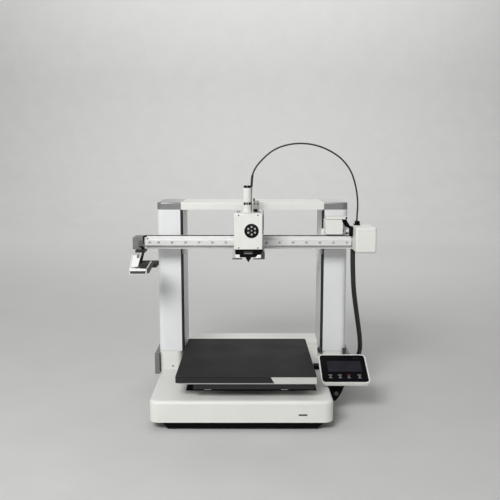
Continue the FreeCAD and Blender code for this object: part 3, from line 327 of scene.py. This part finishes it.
def glow(name, colour, strength):
    """Lit part of a display, uneven as a backlight is."""
    material, tree, shader = new_material(name)
    cloud = noise(tree, object_coords(tree), 45.0, 3.0)
    tint = mix_colour(tree, remap(tree, cloud, 0.0, 1.0), shade(colour, 0.75), colour)
    tree.links.new(tint, shader.inputs["Base Color"])
    tree.links.new(tint, shader.inputs["Emission Color"])
    shader.inputs["Emission Strength"].default_value = strength
    shader.inputs["Roughness"].default_value = 0.2
    shader.inputs["Specular IOR Level"].default_value = 0.1
    return material


WIPER_BACK_START = -0.0935          # metres, in the wiper bracket's own place
WIPER_TRAY_TOP = 0.2835
WIPER_BLOCK_LEFT = -0.2135


def two_tone_wiper():
    """Bright sheet for the deflector and tray, black for the bar, the strut and the block."""
    material, tree, shader = new_material("wiper_two_tone")
    coords = add(tree, "ShaderNodeTexCoord")
    parts = add(tree, "ShaderNodeSeparateXYZ")
    tree.links.new(coords.outputs["Object"], parts.inputs["Vector"])
    back_half = above(tree, parts.outputs["Y"], WIPER_BACK_START)
    high_up = above(tree, parts.outputs["Z"], WIPER_TRAY_TOP)
    right_of_tray = above(tree, parts.outputs["X"], WIPER_BLOCK_LEFT)
    black_part = either(tree, both(tree, back_half, high_up), both(tree, right_of_tray, high_up))
    lines = noise(tree, object_coords(tree, (30, 900, 900)), 1.0, 5.0)
    sheet = mix_colour(tree, remap(tree, lines, 0.0, 1.0), (0.60, 0.60, 0.59), (0.78, 0.78, 0.77))
    moulding = mix_colour(tree, remap(tree, lines, 0.0, 1.0), (0.010, 0.010, 0.010),
                          (0.016, 0.016, 0.016))
    tree.links.new(mix_colour(tree, black_part, sheet, moulding), shader.inputs["Base Color"])
    tree.links.new(remap(tree, lines, 0.34, 0.48), shader.inputs["Roughness"])
    tree.links.new(bump(tree, lines, 0.1, 0.0002), shader.inputs["Normal"])
    return material


WHITE = (0.79, 0.79, 0.755)


def make_materials():
    return {
        "white": plastic("white_moulding", WHITE, 0.42, 0.03, 30.0, 0.10, 0.05),
        "white_cool": plastic("white_column", (0.80, 0.81, 0.815), 0.38, 0.03, 22.0, 0.08, 0.05),
        "black": plastic("black_moulding", (0.005, 0.005, 0.0053), 0.55, 0.25, 40.0, 0.2, 0.07,
                         1.3, 0.12),
        "grey": plastic("grey_moulding", (0.19, 0.19, 0.187), 0.5, 0.1, 40.0, 0.15, 0.06),
        # darker grey for the end cap's recess: painted shade
        "painted_cap_shade": plastic("painted_recess_shade_grey", (0.11, 0.11, 0.11), 0.5, 0.1, 40.0, 0.15, 0.06),
        "light_grey": plastic("light_grey_moulding", (0.55, 0.55, 0.535), 0.42, 0.05, 40.0,
                              0.12, 0.05),
        "mid_grey": plastic("mid_grey_moulding", (0.33, 0.33, 0.325), 0.45, 0.06, 40.0,
                            0.12, 0.05),
        "dark_grey": plastic("dark_grey_moulding", (0.055, 0.055, 0.055), 0.45, 0.15, 40.0,
                             0.15, 0.06),
        "bright": plastic("bright_insert", (0.92, 0.92, 0.91), 0.35, 0.03, 60.0, 0.05, 0.05),
        "label": plastic("label_film", (0.60, 0.60, 0.575), 0.32, 0.04, 60.0, 0.05, 0.05),
        "board": plastic("solder_mask", (0.01, 0.07, 0.03), 0.35, 0.2, 90.0, 0.15, 0.08),
        "rubber": rubber("black_rubber", (0.011, 0.011, 0.011)),
        "sleeve": braided_sleeve("cable_sleeve", (0.012, 0.012, 0.0125), 260.0),
        "thin_cable": rubber("cable_jacket", (0.010, 0.010, 0.010), 0.45, 1200.0),
        "plate": textured_plate(),
        "dark_metal": brushed_metal("anodised_dark", (0.030, 0.030, 0.031), 0.42,
                                    (40, 900, 900), 0.3, 0.0, 0.5),
        "rail": brushed_metal("ground_rail", (0.82, 0.82, 0.81), 0.36,
                              (6, 1800, 1800), 0.06, 0.1, 0.25),
        "beam": brushed_metal("anodised_beam", (0.84, 0.84, 0.83), 0.42,
                              (5, 1100, 1100), 0.04, 0.1, 0.15),
        "rod": brushed_metal("ground_rod", (0.62, 0.63, 0.65), 0.16, (900, 900, 12), 0.1, 0.1),
        "sheet": brushed_metal("sheet_steel", (0.66, 0.66, 0.655), 0.3, (12, 700, 900), 0.1, 0.1),
        "cap": brushed_metal("end_cap_metal", (0.40, 0.405, 0.405), 0.36,
                             (700, 8, 900), 0.12, 0.2, 0.9),
        "motor": brushed_metal("motor_metal", (0.22, 0.22, 0.225), 0.36,
                               (400, 400, 12), 0.15, 0.0, 0.9),
        "brass": brushed_metal("worn_brass", (0.10, 0.083, 0.05), 0.35, (500, 500, 60), 0.2, 0.0),
        "steel_black": brushed_metal("blackened_steel", (0.035, 0.035, 0.035), 0.3,
                                     (500, 500, 500), 0.25, 0.0),
        "glass": glass_panel(),
        "display": glow("display_area", (0.013, 0.012, 0.017), 0.8),
        "icon": glow("icon_grey", (0.15, 0.15, 0.145), 0.5),
        "icon_red": glow("icon_red", (0.10, 0.03, 0.03), 0.35),
        "wiper": two_tone_wiper(),
    }


# ---------------------------------------------------------------- mesh helpers
SMOOTH_ANGLE = 35.0                 # degrees; edges sharper than this stay sharp
SMOOTH_ANGLE_FLAT = 30.0


def finish_mesh(name, bm, look, body, smooth_angle=SMOOTH_ANGLE):
    bmesh.ops.recalc_face_normals(bm, faces=bm.faces)
    mesh = bpy.data.meshes.new(name)
    bm.to_mesh(mesh)
    bm.free()
    obj = bpy.data.objects.new(name, mesh)
    bpy.context.scene.collection.objects.link(obj)
    mesh.materials.append(looks[look])
    smooth_by_angle(obj, smooth_angle)
    if body:
        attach(obj, body)
    return obj


def smooth_by_angle(obj, angle):
    mesh = obj.data
    mesh.polygons.foreach_set("use_smooth", [True] * len(mesh.polygons))
    mesh.set_sharp_from_angle(angle=math.radians(angle))
    mesh.update()


BEVEL_PROFILE = 0.6                 # a little fuller than a quarter circle


def rounded_block(name, low, high, radius, look, body, segments=3, turn=None):
    """Block between two corners in mm, with rounded edges."""
    bm = bmesh.new()
    bmesh.ops.create_cube(bm, size=1)
    size = Vector(high) - Vector(low)
    middle = (Vector(high) + Vector(low)) / 2
    bmesh.ops.scale(bm, vec=size, verts=bm.verts)
    bmesh.ops.bevel(bm, geom=bm.edges[:], offset=radius, segments=segments,
                    profile=BEVEL_PROFILE, affect="EDGES")
    if turn is not None:
        bmesh.ops.rotate(bm, verts=bm.verts, matrix=turn)
    bmesh.ops.translate(bm, vec=middle, verts=bm.verts)
    bmesh.ops.scale(bm, vec=(MM, MM, MM), verts=bm.verts)
    return finish_mesh(name, bm, look, body)


def circle(bm, radius, height, steps):
    points = []
    for i in range(steps):
        angle = 2 * math.pi * i / steps
        points.append(bm.verts.new((radius * math.cos(angle), radius * math.sin(angle), height)))
    return points


def join_rings(bm, rings):
    """Four-sided faces between each ring of vertices and the next."""
    for a, b in zip(rings, rings[1:]):
        for i in range(len(a)):
            j = (i + 1) % len(a)
            bm.faces.new((a[i], a[j], b[j], b[i]))


def lathe(name, profile, centre, axis, look, body, steps=32):
    """Turned piece: profile is a list of (radius, height) in mm, axis points along the heights."""
    bm = bmesh.new()
    rings = []
    for radius, height in profile:
        on_axis = radius == 0
        if on_axis:
            rings.append([bm.verts.new((0, 0, height))])
        else:
            rings.append(circle(bm, radius, height, steps))
    for a, b in zip(rings, rings[1:]):
        for i in range(steps):
            j = (i + 1) % steps
            if len(a) == 1 and len(b) == 1:
                continue
            if len(a) == 1:
                bm.faces.new((a[0], b[j], b[i]))
            elif len(b) == 1:
                bm.faces.new((a[i], a[j], b[0]))
            else:
                bm.faces.new((a[i], a[j], b[j], b[i]))
    place_bmesh(bm, centre, axis)
    return finish_mesh(name, bm, look, body)


def place_bmesh(bm, centre, axis):
    turn = Vector((0, 0, 1)).rotation_difference(Vector(axis)).to_matrix()
    bmesh.ops.rotate(bm, verts=bm.verts, matrix=turn)
    bmesh.ops.translate(bm, vec=centre, verts=bm.verts)
    bmesh.ops.scale(bm, vec=(MM, MM, MM), verts=bm.verts)


def socket_screw(name, centre, axis, radius, height, look, body):
    """Button-head screw with a six-sided socket, its seat at centre."""
    bm = bmesh.new()
    steps = 24
    head = [(radius, 0.0), (radius, height * 0.45), (radius * 0.9, height * 0.8),
            (radius * 0.72, height)]
    rings = [circle(bm, r, h, steps) for r, h in head]
    socket_radius = radius * 0.48
    half_side = math.pi / 6
    for depth in (height, height * 0.25):
        ring = []
        for i in range(steps):
            angle = 2 * math.pi * i / steps
            sector = (angle + half_side) % (2 * half_side) - half_side
            r = socket_radius * math.cos(half_side) / math.cos(sector)
            ring.append(bm.verts.new((r * math.cos(angle), r * math.sin(angle), depth)))
        rings.append(ring)
    join_rings(bm, rings)
    bm.faces.new(rings[-1])
    bm.faces.new(reversed(rings[0]))
    place_bmesh(bm, centre, axis)
    return finish_mesh(name, bm, look, body, SMOOTH_ANGLE_FLAT)


# ---------------------------------------------------------------- cords
HARNESS_X, HARNESS_Y, HARNESS_TOP = 200.3, -47.0, 313.5
HARNESS_POINTS = [
    (HARNESS_X, HARNESS_Y, HARNESS_TOP), (HARNESS_X, HARNESS_Y, 293), (201.6, -46, 262),
    (204.5, -42, 226), (211, -32, 190), (218.5, -20, 152), (226, -6, 114), (229.5, 10, 82),
    (222, 24, 56), (206, 32, 45), (188.5, 34, 44),
]
HARNESS_RADIUS = 4.8
HUB_Y = -72.0
HUB_SIDE_X = 50.0                   # the cable left of here belongs to the hub's side of the arch
CABLE_X = -2.6
CABLE_Y = HUB_Y + 10.5
CABLE_FOOT = 390.0
PLUG_X, PLUG_Y, PLUG_TOP = 204.2, -64.0, 368.0
CABLE_POINTS = [
    (CABLE_X, CABLE_Y, CABLE_FOOT), (CABLE_X, CABLE_Y, 446), (2.4, CABLE_Y, 467),
    (15.5, CABLE_Y, 484.5), (38, CABLE_Y, 505), (64, CABLE_Y, 515.5), (93, CABLE_Y, 519),
    (122, CABLE_Y - 0.5, 515.5),
    (149, CABLE_Y - 1, 505), (172.5, CABLE_Y - 1.5, 489.5), (190.5, CABLE_Y - 2, 467),
    (200, CABLE_Y - 2.5, 440), (204.6, PLUG_Y, 414), (205.4, PLUG_Y, 394), (PLUG_X, PLUG_Y, 379),
    (PLUG_X, PLUG_Y, PLUG_TOP),
]
CABLE_RADIUS, BOOT_RADIUS = 1.6, 2.3
BOOT_Z0, BOOT_Z1 = 434.0, 457.0     # thicker black boot on the cable, above its grey lower stretch


def nurbs_line(points, resolution):
    """Points along the smooth curve that has the route's points as its control points."""
    data = bpy.data.curves.new("route", "CURVE")
    data.dimensions = "3D"
    data.resolution_u = resolution
    spline = data.splines.new("NURBS")
    spline.points.add(len(points) - 1)
    for point, place in zip(spline.points, points):
        point.co = (*[c * MM for c in place], 1.0)
    spline.order_u = 3
    spline.use_endpoint_u = True
    holder = bpy.data.objects.new("route", data)
    bpy.context.scene.collection.objects.link(holder)
    bpy.context.view_layer.update()
    mesh = bpy.data.meshes.new_from_object(holder)
    line = [v.co.copy() for v in mesh.vertices]
    bpy.data.objects.remove(holder)
    bpy.data.curves.remove(data)
    bpy.data.meshes.remove(mesh)
    return line


def tube_along(name, line, radii, look, sides=16):
    """Mesh tube round a line of points; radii holds one radius for each point."""
    bm = bmesh.new()
    way = (line[1] - line[0]).normalized()
    side = way.orthogonal().normalized()
    rings = []
    for i, point in enumerate(line):
        ahead = line[min(i + 1, len(line) - 1)] - line[max(i - 1, 0)]
        turned = ahead.normalized()
        side = way.rotation_difference(turned) @ side
        way = turned
        other = way.cross(side)
        ring = []
        for k in range(sides):
            angle = 2 * math.pi * k / sides
            out = side * math.cos(angle) + other * math.sin(angle)
            ring.append(bm.verts.new(point + out * radii[i]))
        rings.append(ring)
    join_rings(bm, rings)
    bm.faces.new(reversed(rings[0]))
    bm.faces.new(rings[-1])
    return finish_mesh(name, bm, look, None)


def make_harness():
    line = nurbs_line(HARNESS_POINTS, 12)
    radii = [HARNESS_RADIUS * MM] * len(line)
    sleeve = tube_along("harness_sleeve", line, radii, "sleeve", 20)
    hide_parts("harness")
    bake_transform(sleeve)


def cable_radius(z, on_first_side):
    """Cable radius in mm at a height in mm: thicker in the boot, on the hub's side of the arch."""
    in_boot = on_first_side and BOOT_Z0 <= z <= BOOT_Z1
    return BOOT_RADIUS if in_boot else CABLE_RADIUS


def make_cable():
    line = nurbs_line(CABLE_POINTS, 24)
    radii = []
    for i, point in enumerate(line):
        on_first_side = i < len(line) // 3
        radii.append(cable_radius(point.z / MM, on_first_side) * MM)
    cable = tube_along("toolhead_cable_jacket", line, radii, "thin_cable", 14)
    cable.data.materials.append(looks["mid_grey"])
    for face in cable.data.polygons:
        low_on_hub_side = face.center.z < BOOT_Z0 * MM and face.center.x < HUB_SIDE_X * MM
        face.material_index = 1 if low_on_hub_side else 0
    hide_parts("toolhead_cable")
    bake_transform(cable)


# ---------------------------------------------------------------- carried-over nodes
NODE_LOOKS = {
    "white": ["base_cover", "top_beam", "motor_box", "toolhead_shell", "toolhead_cover",
              "filament_hub", "screen_shell", "z_carriage_left", "z_carriage_right"],
    "white_cool": ["column_cover_right", "column_cover_left"],
    "black": ["base_tray", "rail_deck", "power_inlet", "power_rocker", "fan_duct", "hub_fittings",
              "screen_arm", "extruder_body", "heatsink_fan", "part_fan"],
    # on column_foot_blocks this grey is painted shade: the blocks beside the column feet are coloured
    # as the shaded grey seen there
    "grey": ["column_foot_blocks", "left_end_cap"],
    "light_grey": ["side_ducts", "x_rail_screws"],
    "rubber": ["feet", "x_belt", "y_belt", "wiper_pad"],
    "rail": ["x_rail", "rail_bearings", "bed_rails", "rail_block"],
    "beam": ["x_beam"],
    "rod": ["z_rods", "z_screw_left", "z_screw_right", "y_pulley", "y_idler", "x_pulley", "x_idler"],
    "sheet": ["power_supply"],
    "wiper": ["wiper_bracket"],
    "mid_grey": ["hub_bracket", "cutter_lever"],
    "cap": ["beam_end_caps"],
    "dark_metal": ["column_profiles", "bed_carriage", "heatbed"],
    "steel_black": ["extruder_gear", "motor_pinion", "nozzle"],
    "plate": ["build_plate"],
    "motor": ["frame_motors", "x_motor"],
    "board": ["mainboard"],
    "brass": ["hotend"],
    "glass": ["screen_glass"],
}
# radius in mm of the rounding that each node gets for the render
SOFT_EDGES = {
    "toolhead_cover": 0.5, "toolhead_shell": 0.5, "x_beam": 0.3, "x_rail": 0.3, "rail_block": 0.4,
    "motor_box": 0.6, "column_foot_blocks": 0.5, "fan_duct": 0.4, "side_ducts": 0.4,
    "build_plate": 0.25, "heatbed": 0.5, "bed_carriage": 0.5, "screen_arm": 0.5,
    "z_carriage_right": 0.6, "z_carriage_left": 0.6, "left_end_cap": 0.6, "wiper_bracket": 0.3,
    "hub_bracket": 0.3, "beam_end_caps": 0.3, "rail_deck": 0.6, "screen_shell": 0.4,
}


def dress_nodes():
    for look, names in NODE_LOOKS.items():
        for name in names:
            obj = nodes[name]
            obj.data.materials.clear()
            obj.data.materials.append(looks[look])
    for name, width in SOFT_EDGES.items():
        soften(nodes[name], width * MM)


def soften(obj, width):
    """Rounds the sharp edges of a carried-over node for the render; its own mesh stays as it is."""
    weld = obj.modifiers.new("weld", "WELD")
    weld.merge_threshold = 0.000004
    bevel = obj.modifiers.new("bevel", "BEVEL")
    bevel.width = width
    bevel.segments = 2
    bevel.limit_method = "ANGLE"
    bevel.angle_limit = math.radians(40)
    bevel.use_clamp_overlap = True
    bevel.harden_normals = False


# ---------------------------------------------------------------- added details
def profile_block(name, outline, y0, y1, look, body):
    """Flat-sided piece: an (x, z) outline in mm, pushed from y0 to y1."""
    bm = bmesh.new()
    front = [bm.verts.new((x, y0, z)) for x, z in outline]
    back = [bm.verts.new((x, y1, z)) for x, z in outline]
    count = len(outline)
    for i in range(count):
        j = (i + 1) % count
        bm.faces.new((front[i], front[j], back[j], back[i]))
    bm.faces.new(front)
    bm.faces.new(reversed(back))
    bmesh.ops.scale(bm, vec=(MM, MM, MM), verts=bm.verts)
    return finish_mesh(name, bm, look, body, SMOOTH_ANGLE_FLAT)


BED_MID_X, BED_FRONT_Y = -12.0, -199.0
SLAB_Z0, PLATE_Z0, PLATE_TOP = 86.0, 95.8, 97.0
BED_SCREW_DX, BED_SCREW_DY = (-90, 100), (24, 232)
BED_SCREW_Z = SLAB_Z0 - 11.5


def make_bed_details():
    front = BED_FRONT_Y
    label = [(40, 85.0), (116, 85.0), (116, 95.6), (33.5, 95.6)]
    profile_block("label_plate", label, front - 0.6, front + 0.4, "label", "bed")
    tab = [(33.3, PLATE_Z0 + 0.1), (116, PLATE_Z0 + 0.1), (116, PLATE_TOP - 0.05),
           (32.6, PLATE_TOP - 0.05)]
    profile_block("plate_tab", tab, front - 0.55, front + 0.4, "label", "plate")
    strip = [(-134.6, 84.1), (116.5, 84.1), (116.5, 85.9), (-134.6, 85.9)]
    profile_block("slab_edge_strip", strip, front + 0.2, front + 3.0, "sheet", "bed")
    for dx in BED_SCREW_DX:
        for dy in BED_SCREW_DY:
            socket_screw("bed_screw", (BED_MID_X + dx, front + dy, BED_SCREW_Z), (0, 0, -1), 3.0, 1.8,
                         "steel_black", "bed")


HEAD_X, HEAD_FRONT_Y = -8.0, -147.0
HEAD_Z0, HEAD_Z1 = 323.0, 389.0
COVER_SCREW_DX, COVER_SCREW_DZ = 17.7, 3.0
GEAR_X, GEAR_Z, GEAR_R = -2.0, 357.5, 12.0
GEAR_HOLES, GEAR_HOLE_RING = 6, 7.0
GEAR_BACK_R = 10.0
BOSS_R, BOSS_L = 1.95, 2.9
SHAFT_R, SHAFT_L = 1.4, 2.8
CORE_EDGE = 0.2                     # bevel on the ends of the bosses and the shaft
DUCT_FACE_Y0, DUCT_FACE_Y1 = -143.9, -142.8
BAND_RIB_X = (-12.6, -8.6)
BRACKET_SCREW_X = (3.6, 10.4)


def bevelled_rod(radius, length):
    """Lathe profile of a rod that has a small bevel on its front end."""
    return [(0.0, 0.0), (radius, 0.0), (radius, length - CORE_EDGE), (radius - CORE_EDGE, length),
            (0.0, length)]


def make_head_details():
    front = HEAD_FRONT_Y
    for dx in (-COVER_SCREW_DX, COVER_SCREW_DX):
        for z in (HEAD_Z0 + COVER_SCREW_DZ, HEAD_Z1 - COVER_SCREW_DZ):
            socket_screw("cover_screw", (HEAD_X + dx, front + 1.2, z), (0, -1, 0), 1.25, 0.9, "black",
                         "front_cover")
    inner, outer, depth = GEAR_R + 0.75, GEAR_R + 1.25, 2.6
    ring = [(inner, 0.0), (inner, depth), (outer, depth), (outer, 0.0), (inner, 0.0)]
    lathe("gear_window_ring", ring, (GEAR_X, front + 2.4, GEAR_Z), (0, -1, 0), "black",
          "front_cover", 64)
    disc = [(0.0, 0.0), (GEAR_BACK_R, 0.0), (GEAR_BACK_R, 0.5), (0.0, 0.5)]
    lathe("gear_backing", disc, (GEAR_X, front + 8.3, GEAR_Z), (0, -1, 0), "bright", "gear", 48)
    boss = bevelled_rod(BOSS_R, BOSS_L)
    for i in range(GEAR_HOLES):
        angle = math.pi / 6 + 2 * math.pi * i / GEAR_HOLES
        place = (GEAR_X + GEAR_HOLE_RING * math.cos(angle), front + 7.8,
                 GEAR_Z + GEAR_HOLE_RING * math.sin(angle))
        lathe("gear_core_boss", boss, place, (0, -1, 0), "light_grey", "gear", 24)
    lathe("gear_shaft_end", bevelled_rod(SHAFT_R, SHAFT_L), (GEAR_X, front + 7.2, GEAR_Z), (0, -1, 0),
          "light_grey", "gear", 24)
    rounded_block("heater_block", (-17, front + 5.5, 317.0), (0.5, front + 12, 321.5), 0.5, "brass",
                  "toolhead")
    rounded_block("duct_light_strip", (-15.5, front + 3.4, 314.2), (-0.5, front + 5.5, 316.4), 0.4,
                  "grey", "toolhead")
    y0, y1 = DUCT_FACE_Y0, DUCT_FACE_Y1
    left_lip = [(-37.6, 304.3), (-19.0, 304.3), (-19.0, 306.4), (-37.6, 306.4)]
    profile_block("left_duct_lip", left_lip, y0, y1, "dark_grey", "toolhead")
    left_patch = [(-31.6, 307.4), (-24.1, 307.4), (-24.1, 313.3), (-31.6, 313.3)]
    profile_block("left_duct_patch", left_patch, y0, y1, "bright", "toolhead")
    right_rim = [(15.6, 304.6), (22.4, 304.6), (22.4, 317.6), (19.4, 320.8), (15.6, 315.0)]
    profile_block("right_duct_rim", right_rim, y0, y1, "dark_grey", "toolhead")
    right_lip = [(1.0, 304.3), (15.4, 304.3), (15.4, 306.2), (1.0, 306.2)]
    profile_block("right_duct_lip", right_lip, y0, y1, "dark_grey", "toolhead")
    right_patch = [(4.8, 307.4), (15.2, 307.4), (15.2, 313.0), (9.8, 313.0)]
    profile_block("right_duct_patch", right_patch, y0, y1, "bright", "toolhead")
    rounded_block("sensor_block", (-30.5, -113, 380.2), (-23.0, -104, 391.5), 0.8, "mid_grey",
                  "toolhead")
    for x in BAND_RIB_X:
        rounded_block("band_rib", (x - 0.5, HUB_Y - 7.4, 400.4), (x + 0.5, HUB_Y - 5.0, 405.8), 0.2,
                      "white", "toolhead")
    rounded_block("bracket_pin", (1.2, -76.6, 408.0), (4.4, -73.8, 413.0), 0.5, "black", "toolhead")
    rounded_block("bracket_connector", (1.8, -78.4, 387.8), (9.4, -76.2, 392.4), 0.4, "black",
                  "toolhead")
    rounded_block("bracket_clip", (8.0, -78.6, 384.6), (17.4, -76.2, 387.6), 0.4, "dark_grey",
                  "toolhead")
    for x in BRACKET_SCREW_X:
        socket_screw("bracket_screw", (x, -76.0, 402.5), (0, -1, 0), 1.5, 0.8, "steel_black",
                     "toolhead")


BEAM_FACE_Y = -67.0


def make_gantry_details():
    face = BEAM_FACE_Y
    plate = [(-213.9, 329.5), (-212.3, 329.5), (-212.3, 338.6), (-213.9, 338.6)]
    profile_block("beam_end_plate", plate, face - 5.6, face + 6, "black", "gantry")
    rounded_block("beam_end_nub", (-212.6, face - 2, 337.4), (-207.6, face + 4, 340.2), 0.6, "black",
                  "gantry")
    socket_screw("beam_end_screw", (-205.4, face, 333.9), (0, -1, 0), 1.4, 0.6, "dark_grey", "gantry")
    socket_screw("rail_stop_screw", (-212.9, face - 4.6, 326.2), (0, -1, 0), 2.3, 1.0, "steel_black",
                 "gantry")
    # flat darker grey patch on the end cap's front: painted shade where the cap's recess lies in
    # shadow
    recess = [(-222.5, 320.4), (-214.2, 320.4), (-214.2, 331.0), (-222.5, 331.0)]
    profile_block("cap_painted_recess_shade", recess, face - 5.35, face - 4.6, "painted_cap_shade", "gantry")
    foot = [(-223, 319.6), (-214, 319.6), (-211.6, 315), (-213.4, 313.2), (-217, 314.4),
            (-218.6, 317.2), (-223, 318.2)]
    profile_block("cap_foot", foot, face - 5.5, face - 4.4, "black", "gantry")
    rounded_block("cable_plug", (PLUG_X - 5.0, PLUG_Y - 6.3, 360.7),
                  (PLUG_X + 5.0, PLUG_Y + 6.3, PLUG_TOP + 0.3), 1.2, "black", "gantry")
    rounded_block("cable_plug_base", (PLUG_X - 5.7, PLUG_Y - 6.6, 360.5),
                  (PLUG_X + 5.7, PLUG_Y + 6.6, 363.2), 0.8, "black", "gantry")
    strap = [(174.7, 370.8), (183.5, 370.8), (191.6, 357.4), (191.6, 352.6), (181.5, 357.7),
             (176.0, 366.4)]
    profile_block("belt_strap", strap, -66.5, -58, "black", "gantry")
    hook = [(190.0, 339.9), (194.8, 339.9), (194.8, 355.5), (193.6, 358.6), (191.4, 357.0),
            (190.0, 352.6)]
    profile_block("belt_clamp", hook, -80, -58, "black", "gantry")
    rounded_block("bar_end", (182.0, -64.6, 371.4), (185.4, -56, 376.0), 1.2, "black", "gantry")
    rounded_block("bracket_notch", (179.0, -60, 341.5), (189.5, -52, 352.0), 1.0, "mid_grey",
                  "gantry")
    rounded_block("bracket_light_spot", (184.5, -60.6, 346.0), (189.6, -59.4, 352.0), 0.4, "bright",
                  "gantry")
    rounded_block("bracket_dark_spot", (183.0, -60.8, 342.5), (187.5, -59.4, 344.8), 0.4, "black",
                  "gantry")


WIPER_FACE = -122.0
WIPER_ARM_FACE = -129.3
DUCT_CLEAR_Z = 303.4                # the parked toolhead's ducts pass just above this height


def make_wiper_details():
    """Folded sheet, black strut and dark lip on the front of the nozzle wiper's tray."""
    y0, y1 = WIPER_FACE - 0.7, WIPER_FACE + 0.5
    sheet = [(-229.4, 286.6), (-216.8, 287.0), (-213.4, 297.9), (-212.0, DUCT_CLEAR_Z),
             (-217.8, DUCT_CLEAR_Z), (-217.8, 309.2), (-223.7, 309.1)]
    profile_block("wiper_sheet_fold", sheet, y0, y1, "bright", "gantry")
    strut = [(-215.8, 287.6), (-213.0, 297.9), (-211.6, DUCT_CLEAR_Z), (-206.2, DUCT_CLEAR_Z),
             (-206.8, 301.6), (-210.6, 292.2)]
    profile_block("wiper_strut_face", strut, y0 - 0.3, y1, "black", "gantry")
    tray_band = [(-231.3, 278.8), (-200.4, 278.8), (-200.4, 283.8), (-231.3, 283.8)]
    profile_block("wiper_tray_band", tray_band, y0, y1, "bright", "gantry")
    lip = [(-231.3, 274.0), (-198.6, 274.0), (-198.6, 278.4), (-231.3, 278.4)]
    profile_block("wiper_tray_lip", lip, y0, y1, "dark_grey", "gantry")
    face = WIPER_ARM_FACE
    arm = [(-198.6, 275.8), (-194.4, 275.8), (-185.6, 292.0), (-184.4, 297.4), (-189.6, 298.6),
           (-198.4, 284.8)]
    profile_block("wiper_arm_face", arm, face - 0.5, face + 0.3, "dark_grey", "gantry")
    edge = [(-199.2, 285.6), (-197.6, 284.6), (-189.0, 298.4), (-190.4, 299.6)]
    profile_block("wiper_arm_edge", edge, face - 0.8, face + 0.3, "light_grey", "gantry")


SCREEN_PLACE = Vector((178.0, -141.4, 68.0))
SCREEN_TILT = 24.3                  # degrees at rest
SCREEN_TURN = Matrix.Rotation(math.radians(SCREEN_TILT), 3, "X")
ICON_X = (-28.0, -9.5, 7.5, 28.0)
RED_ICON = 2


def on_screen(name, x0, x1, y0, y1, top, look):
    """Thin patch on the screen's glass, placed in the glass's own flat frame (mm)."""
    middle = Vector(((x0 + x1) / 2, (y0 + y1) / 2, top / 2))
    place = SCREEN_PLACE + SCREEN_TURN @ middle
    half = Vector(((x1 - x0) / 2, (y1 - y0) / 2, top / 2))
    rounded_block(name, place - half, place + half, min(0.02, top / 3), look, "screen", 1,
                  SCREEN_TURN)


def make_screen_details():
    on_screen("display_window", -31.0, 35.0, 29.0, 59.0, 0.06, "display")
    for x in (22.0, 28.5):
        on_screen("status_mark", x, x + 3.4, 66.0, 69.5, 0.08, "display")
    for i, x in enumerate(ICON_X):
        look = "icon_red" if i == RED_ICON else "icon"
        on_screen("icon_top", x - 3.6, x + 3.6, 18.2, 20.4, 0.08, look)
        on_screen("icon_bottom", x - 3.2, x + 3.2, 10.5, 12.6, 0.08, "icon")
        on_screen("icon_stem", x - 1.2, x + 1.2, 13.4, 17.4, 0.08, "icon")


COLUMN_SCREW_X, COLUMN_SCREW_Z = 168.0, (108.0, 240.0, 372.0)
COLUMN_BACK_Y = 93.0
REAR_Y = 211.0
VENTS, VENT_X0, VENT_PITCH, VENT_WIDTH = 10, -40, 9.0, 4.2


def make_base_details():
    knob = [(0, 0), (3.0, 0), (4.2, 0.5), (4.2, 1.6), (3.2, 2.2), (0, 2.4)]
    lathe("arm_knob", knob, (162.5, -121.4, 38.0), (0, -1, 0), "dark_grey", "base", 28)
    pin = [(0, 0), (1.7, 0), (1.7, 0.25), (0, 0.3)]
    lathe("pedestal_pin", pin, (-165.0, -25.0, 62.0), (0, -1, 0), "dark_grey", "base", 20)
    rounded_block("cable_clip", (186.0, -30.5, 82.0), (193.5, -25.1, 101.5), 1.6, "dark_grey", "base")
    rounded_block("camera_bump", (137.0, -21, 88.0), (145.6, -8, 98.6), 1.6, "dark_grey", "base")
    lens = [(0, 0), (2.6, 0), (2.6, 0.8), (1.8, 1.0), (0, 0.6)]
    lathe("camera_lens", lens, (137.0, -14.5, 94.6), (-1, 0, 0), "glass", "base", 24)
    # black piece inside the card slot: painted shade, standing in for the shadow deep in the shallow
    # slot
    rounded_block("card_slot_painted_shade", (84.0, -210.4, 29.1), (98.0, -209.2, 31.3), 0.2, "black", "base",
                  1)
    label = [(-130, 27), (-66, 27), (-66, 51), (-130, 51)]
    profile_block("rear_label", label, REAR_Y - 0.2, REAR_Y + 0.3, "label", "base")
    for i in range(VENTS):
        x = VENT_X0 + i * VENT_PITCH
        rounded_block("rear_vent", (x, REAR_Y - 0.4, 30), (x + VENT_WIDTH, REAR_Y + 0.15, 50), 0.1,
                      "black", "base", 1)
    for x in (COLUMN_SCREW_X, -COLUMN_SCREW_X):
        for z in COLUMN_SCREW_Z:
            socket_screw("column_screw", (x, COLUMN_BACK_Y, z), (0, 1, 0), 3.0, 1.4, "steel_black",
                         "base")


# ---------------------------------------------------------------- everything
looks = make_materials()
make_camera()
make_harness()
make_cable()
make_bed_details()
make_head_details()
make_gantry_details()
make_wiper_details()
make_screen_details()
make_base_details()
make_lights()
make_floor()
dress_nodes()
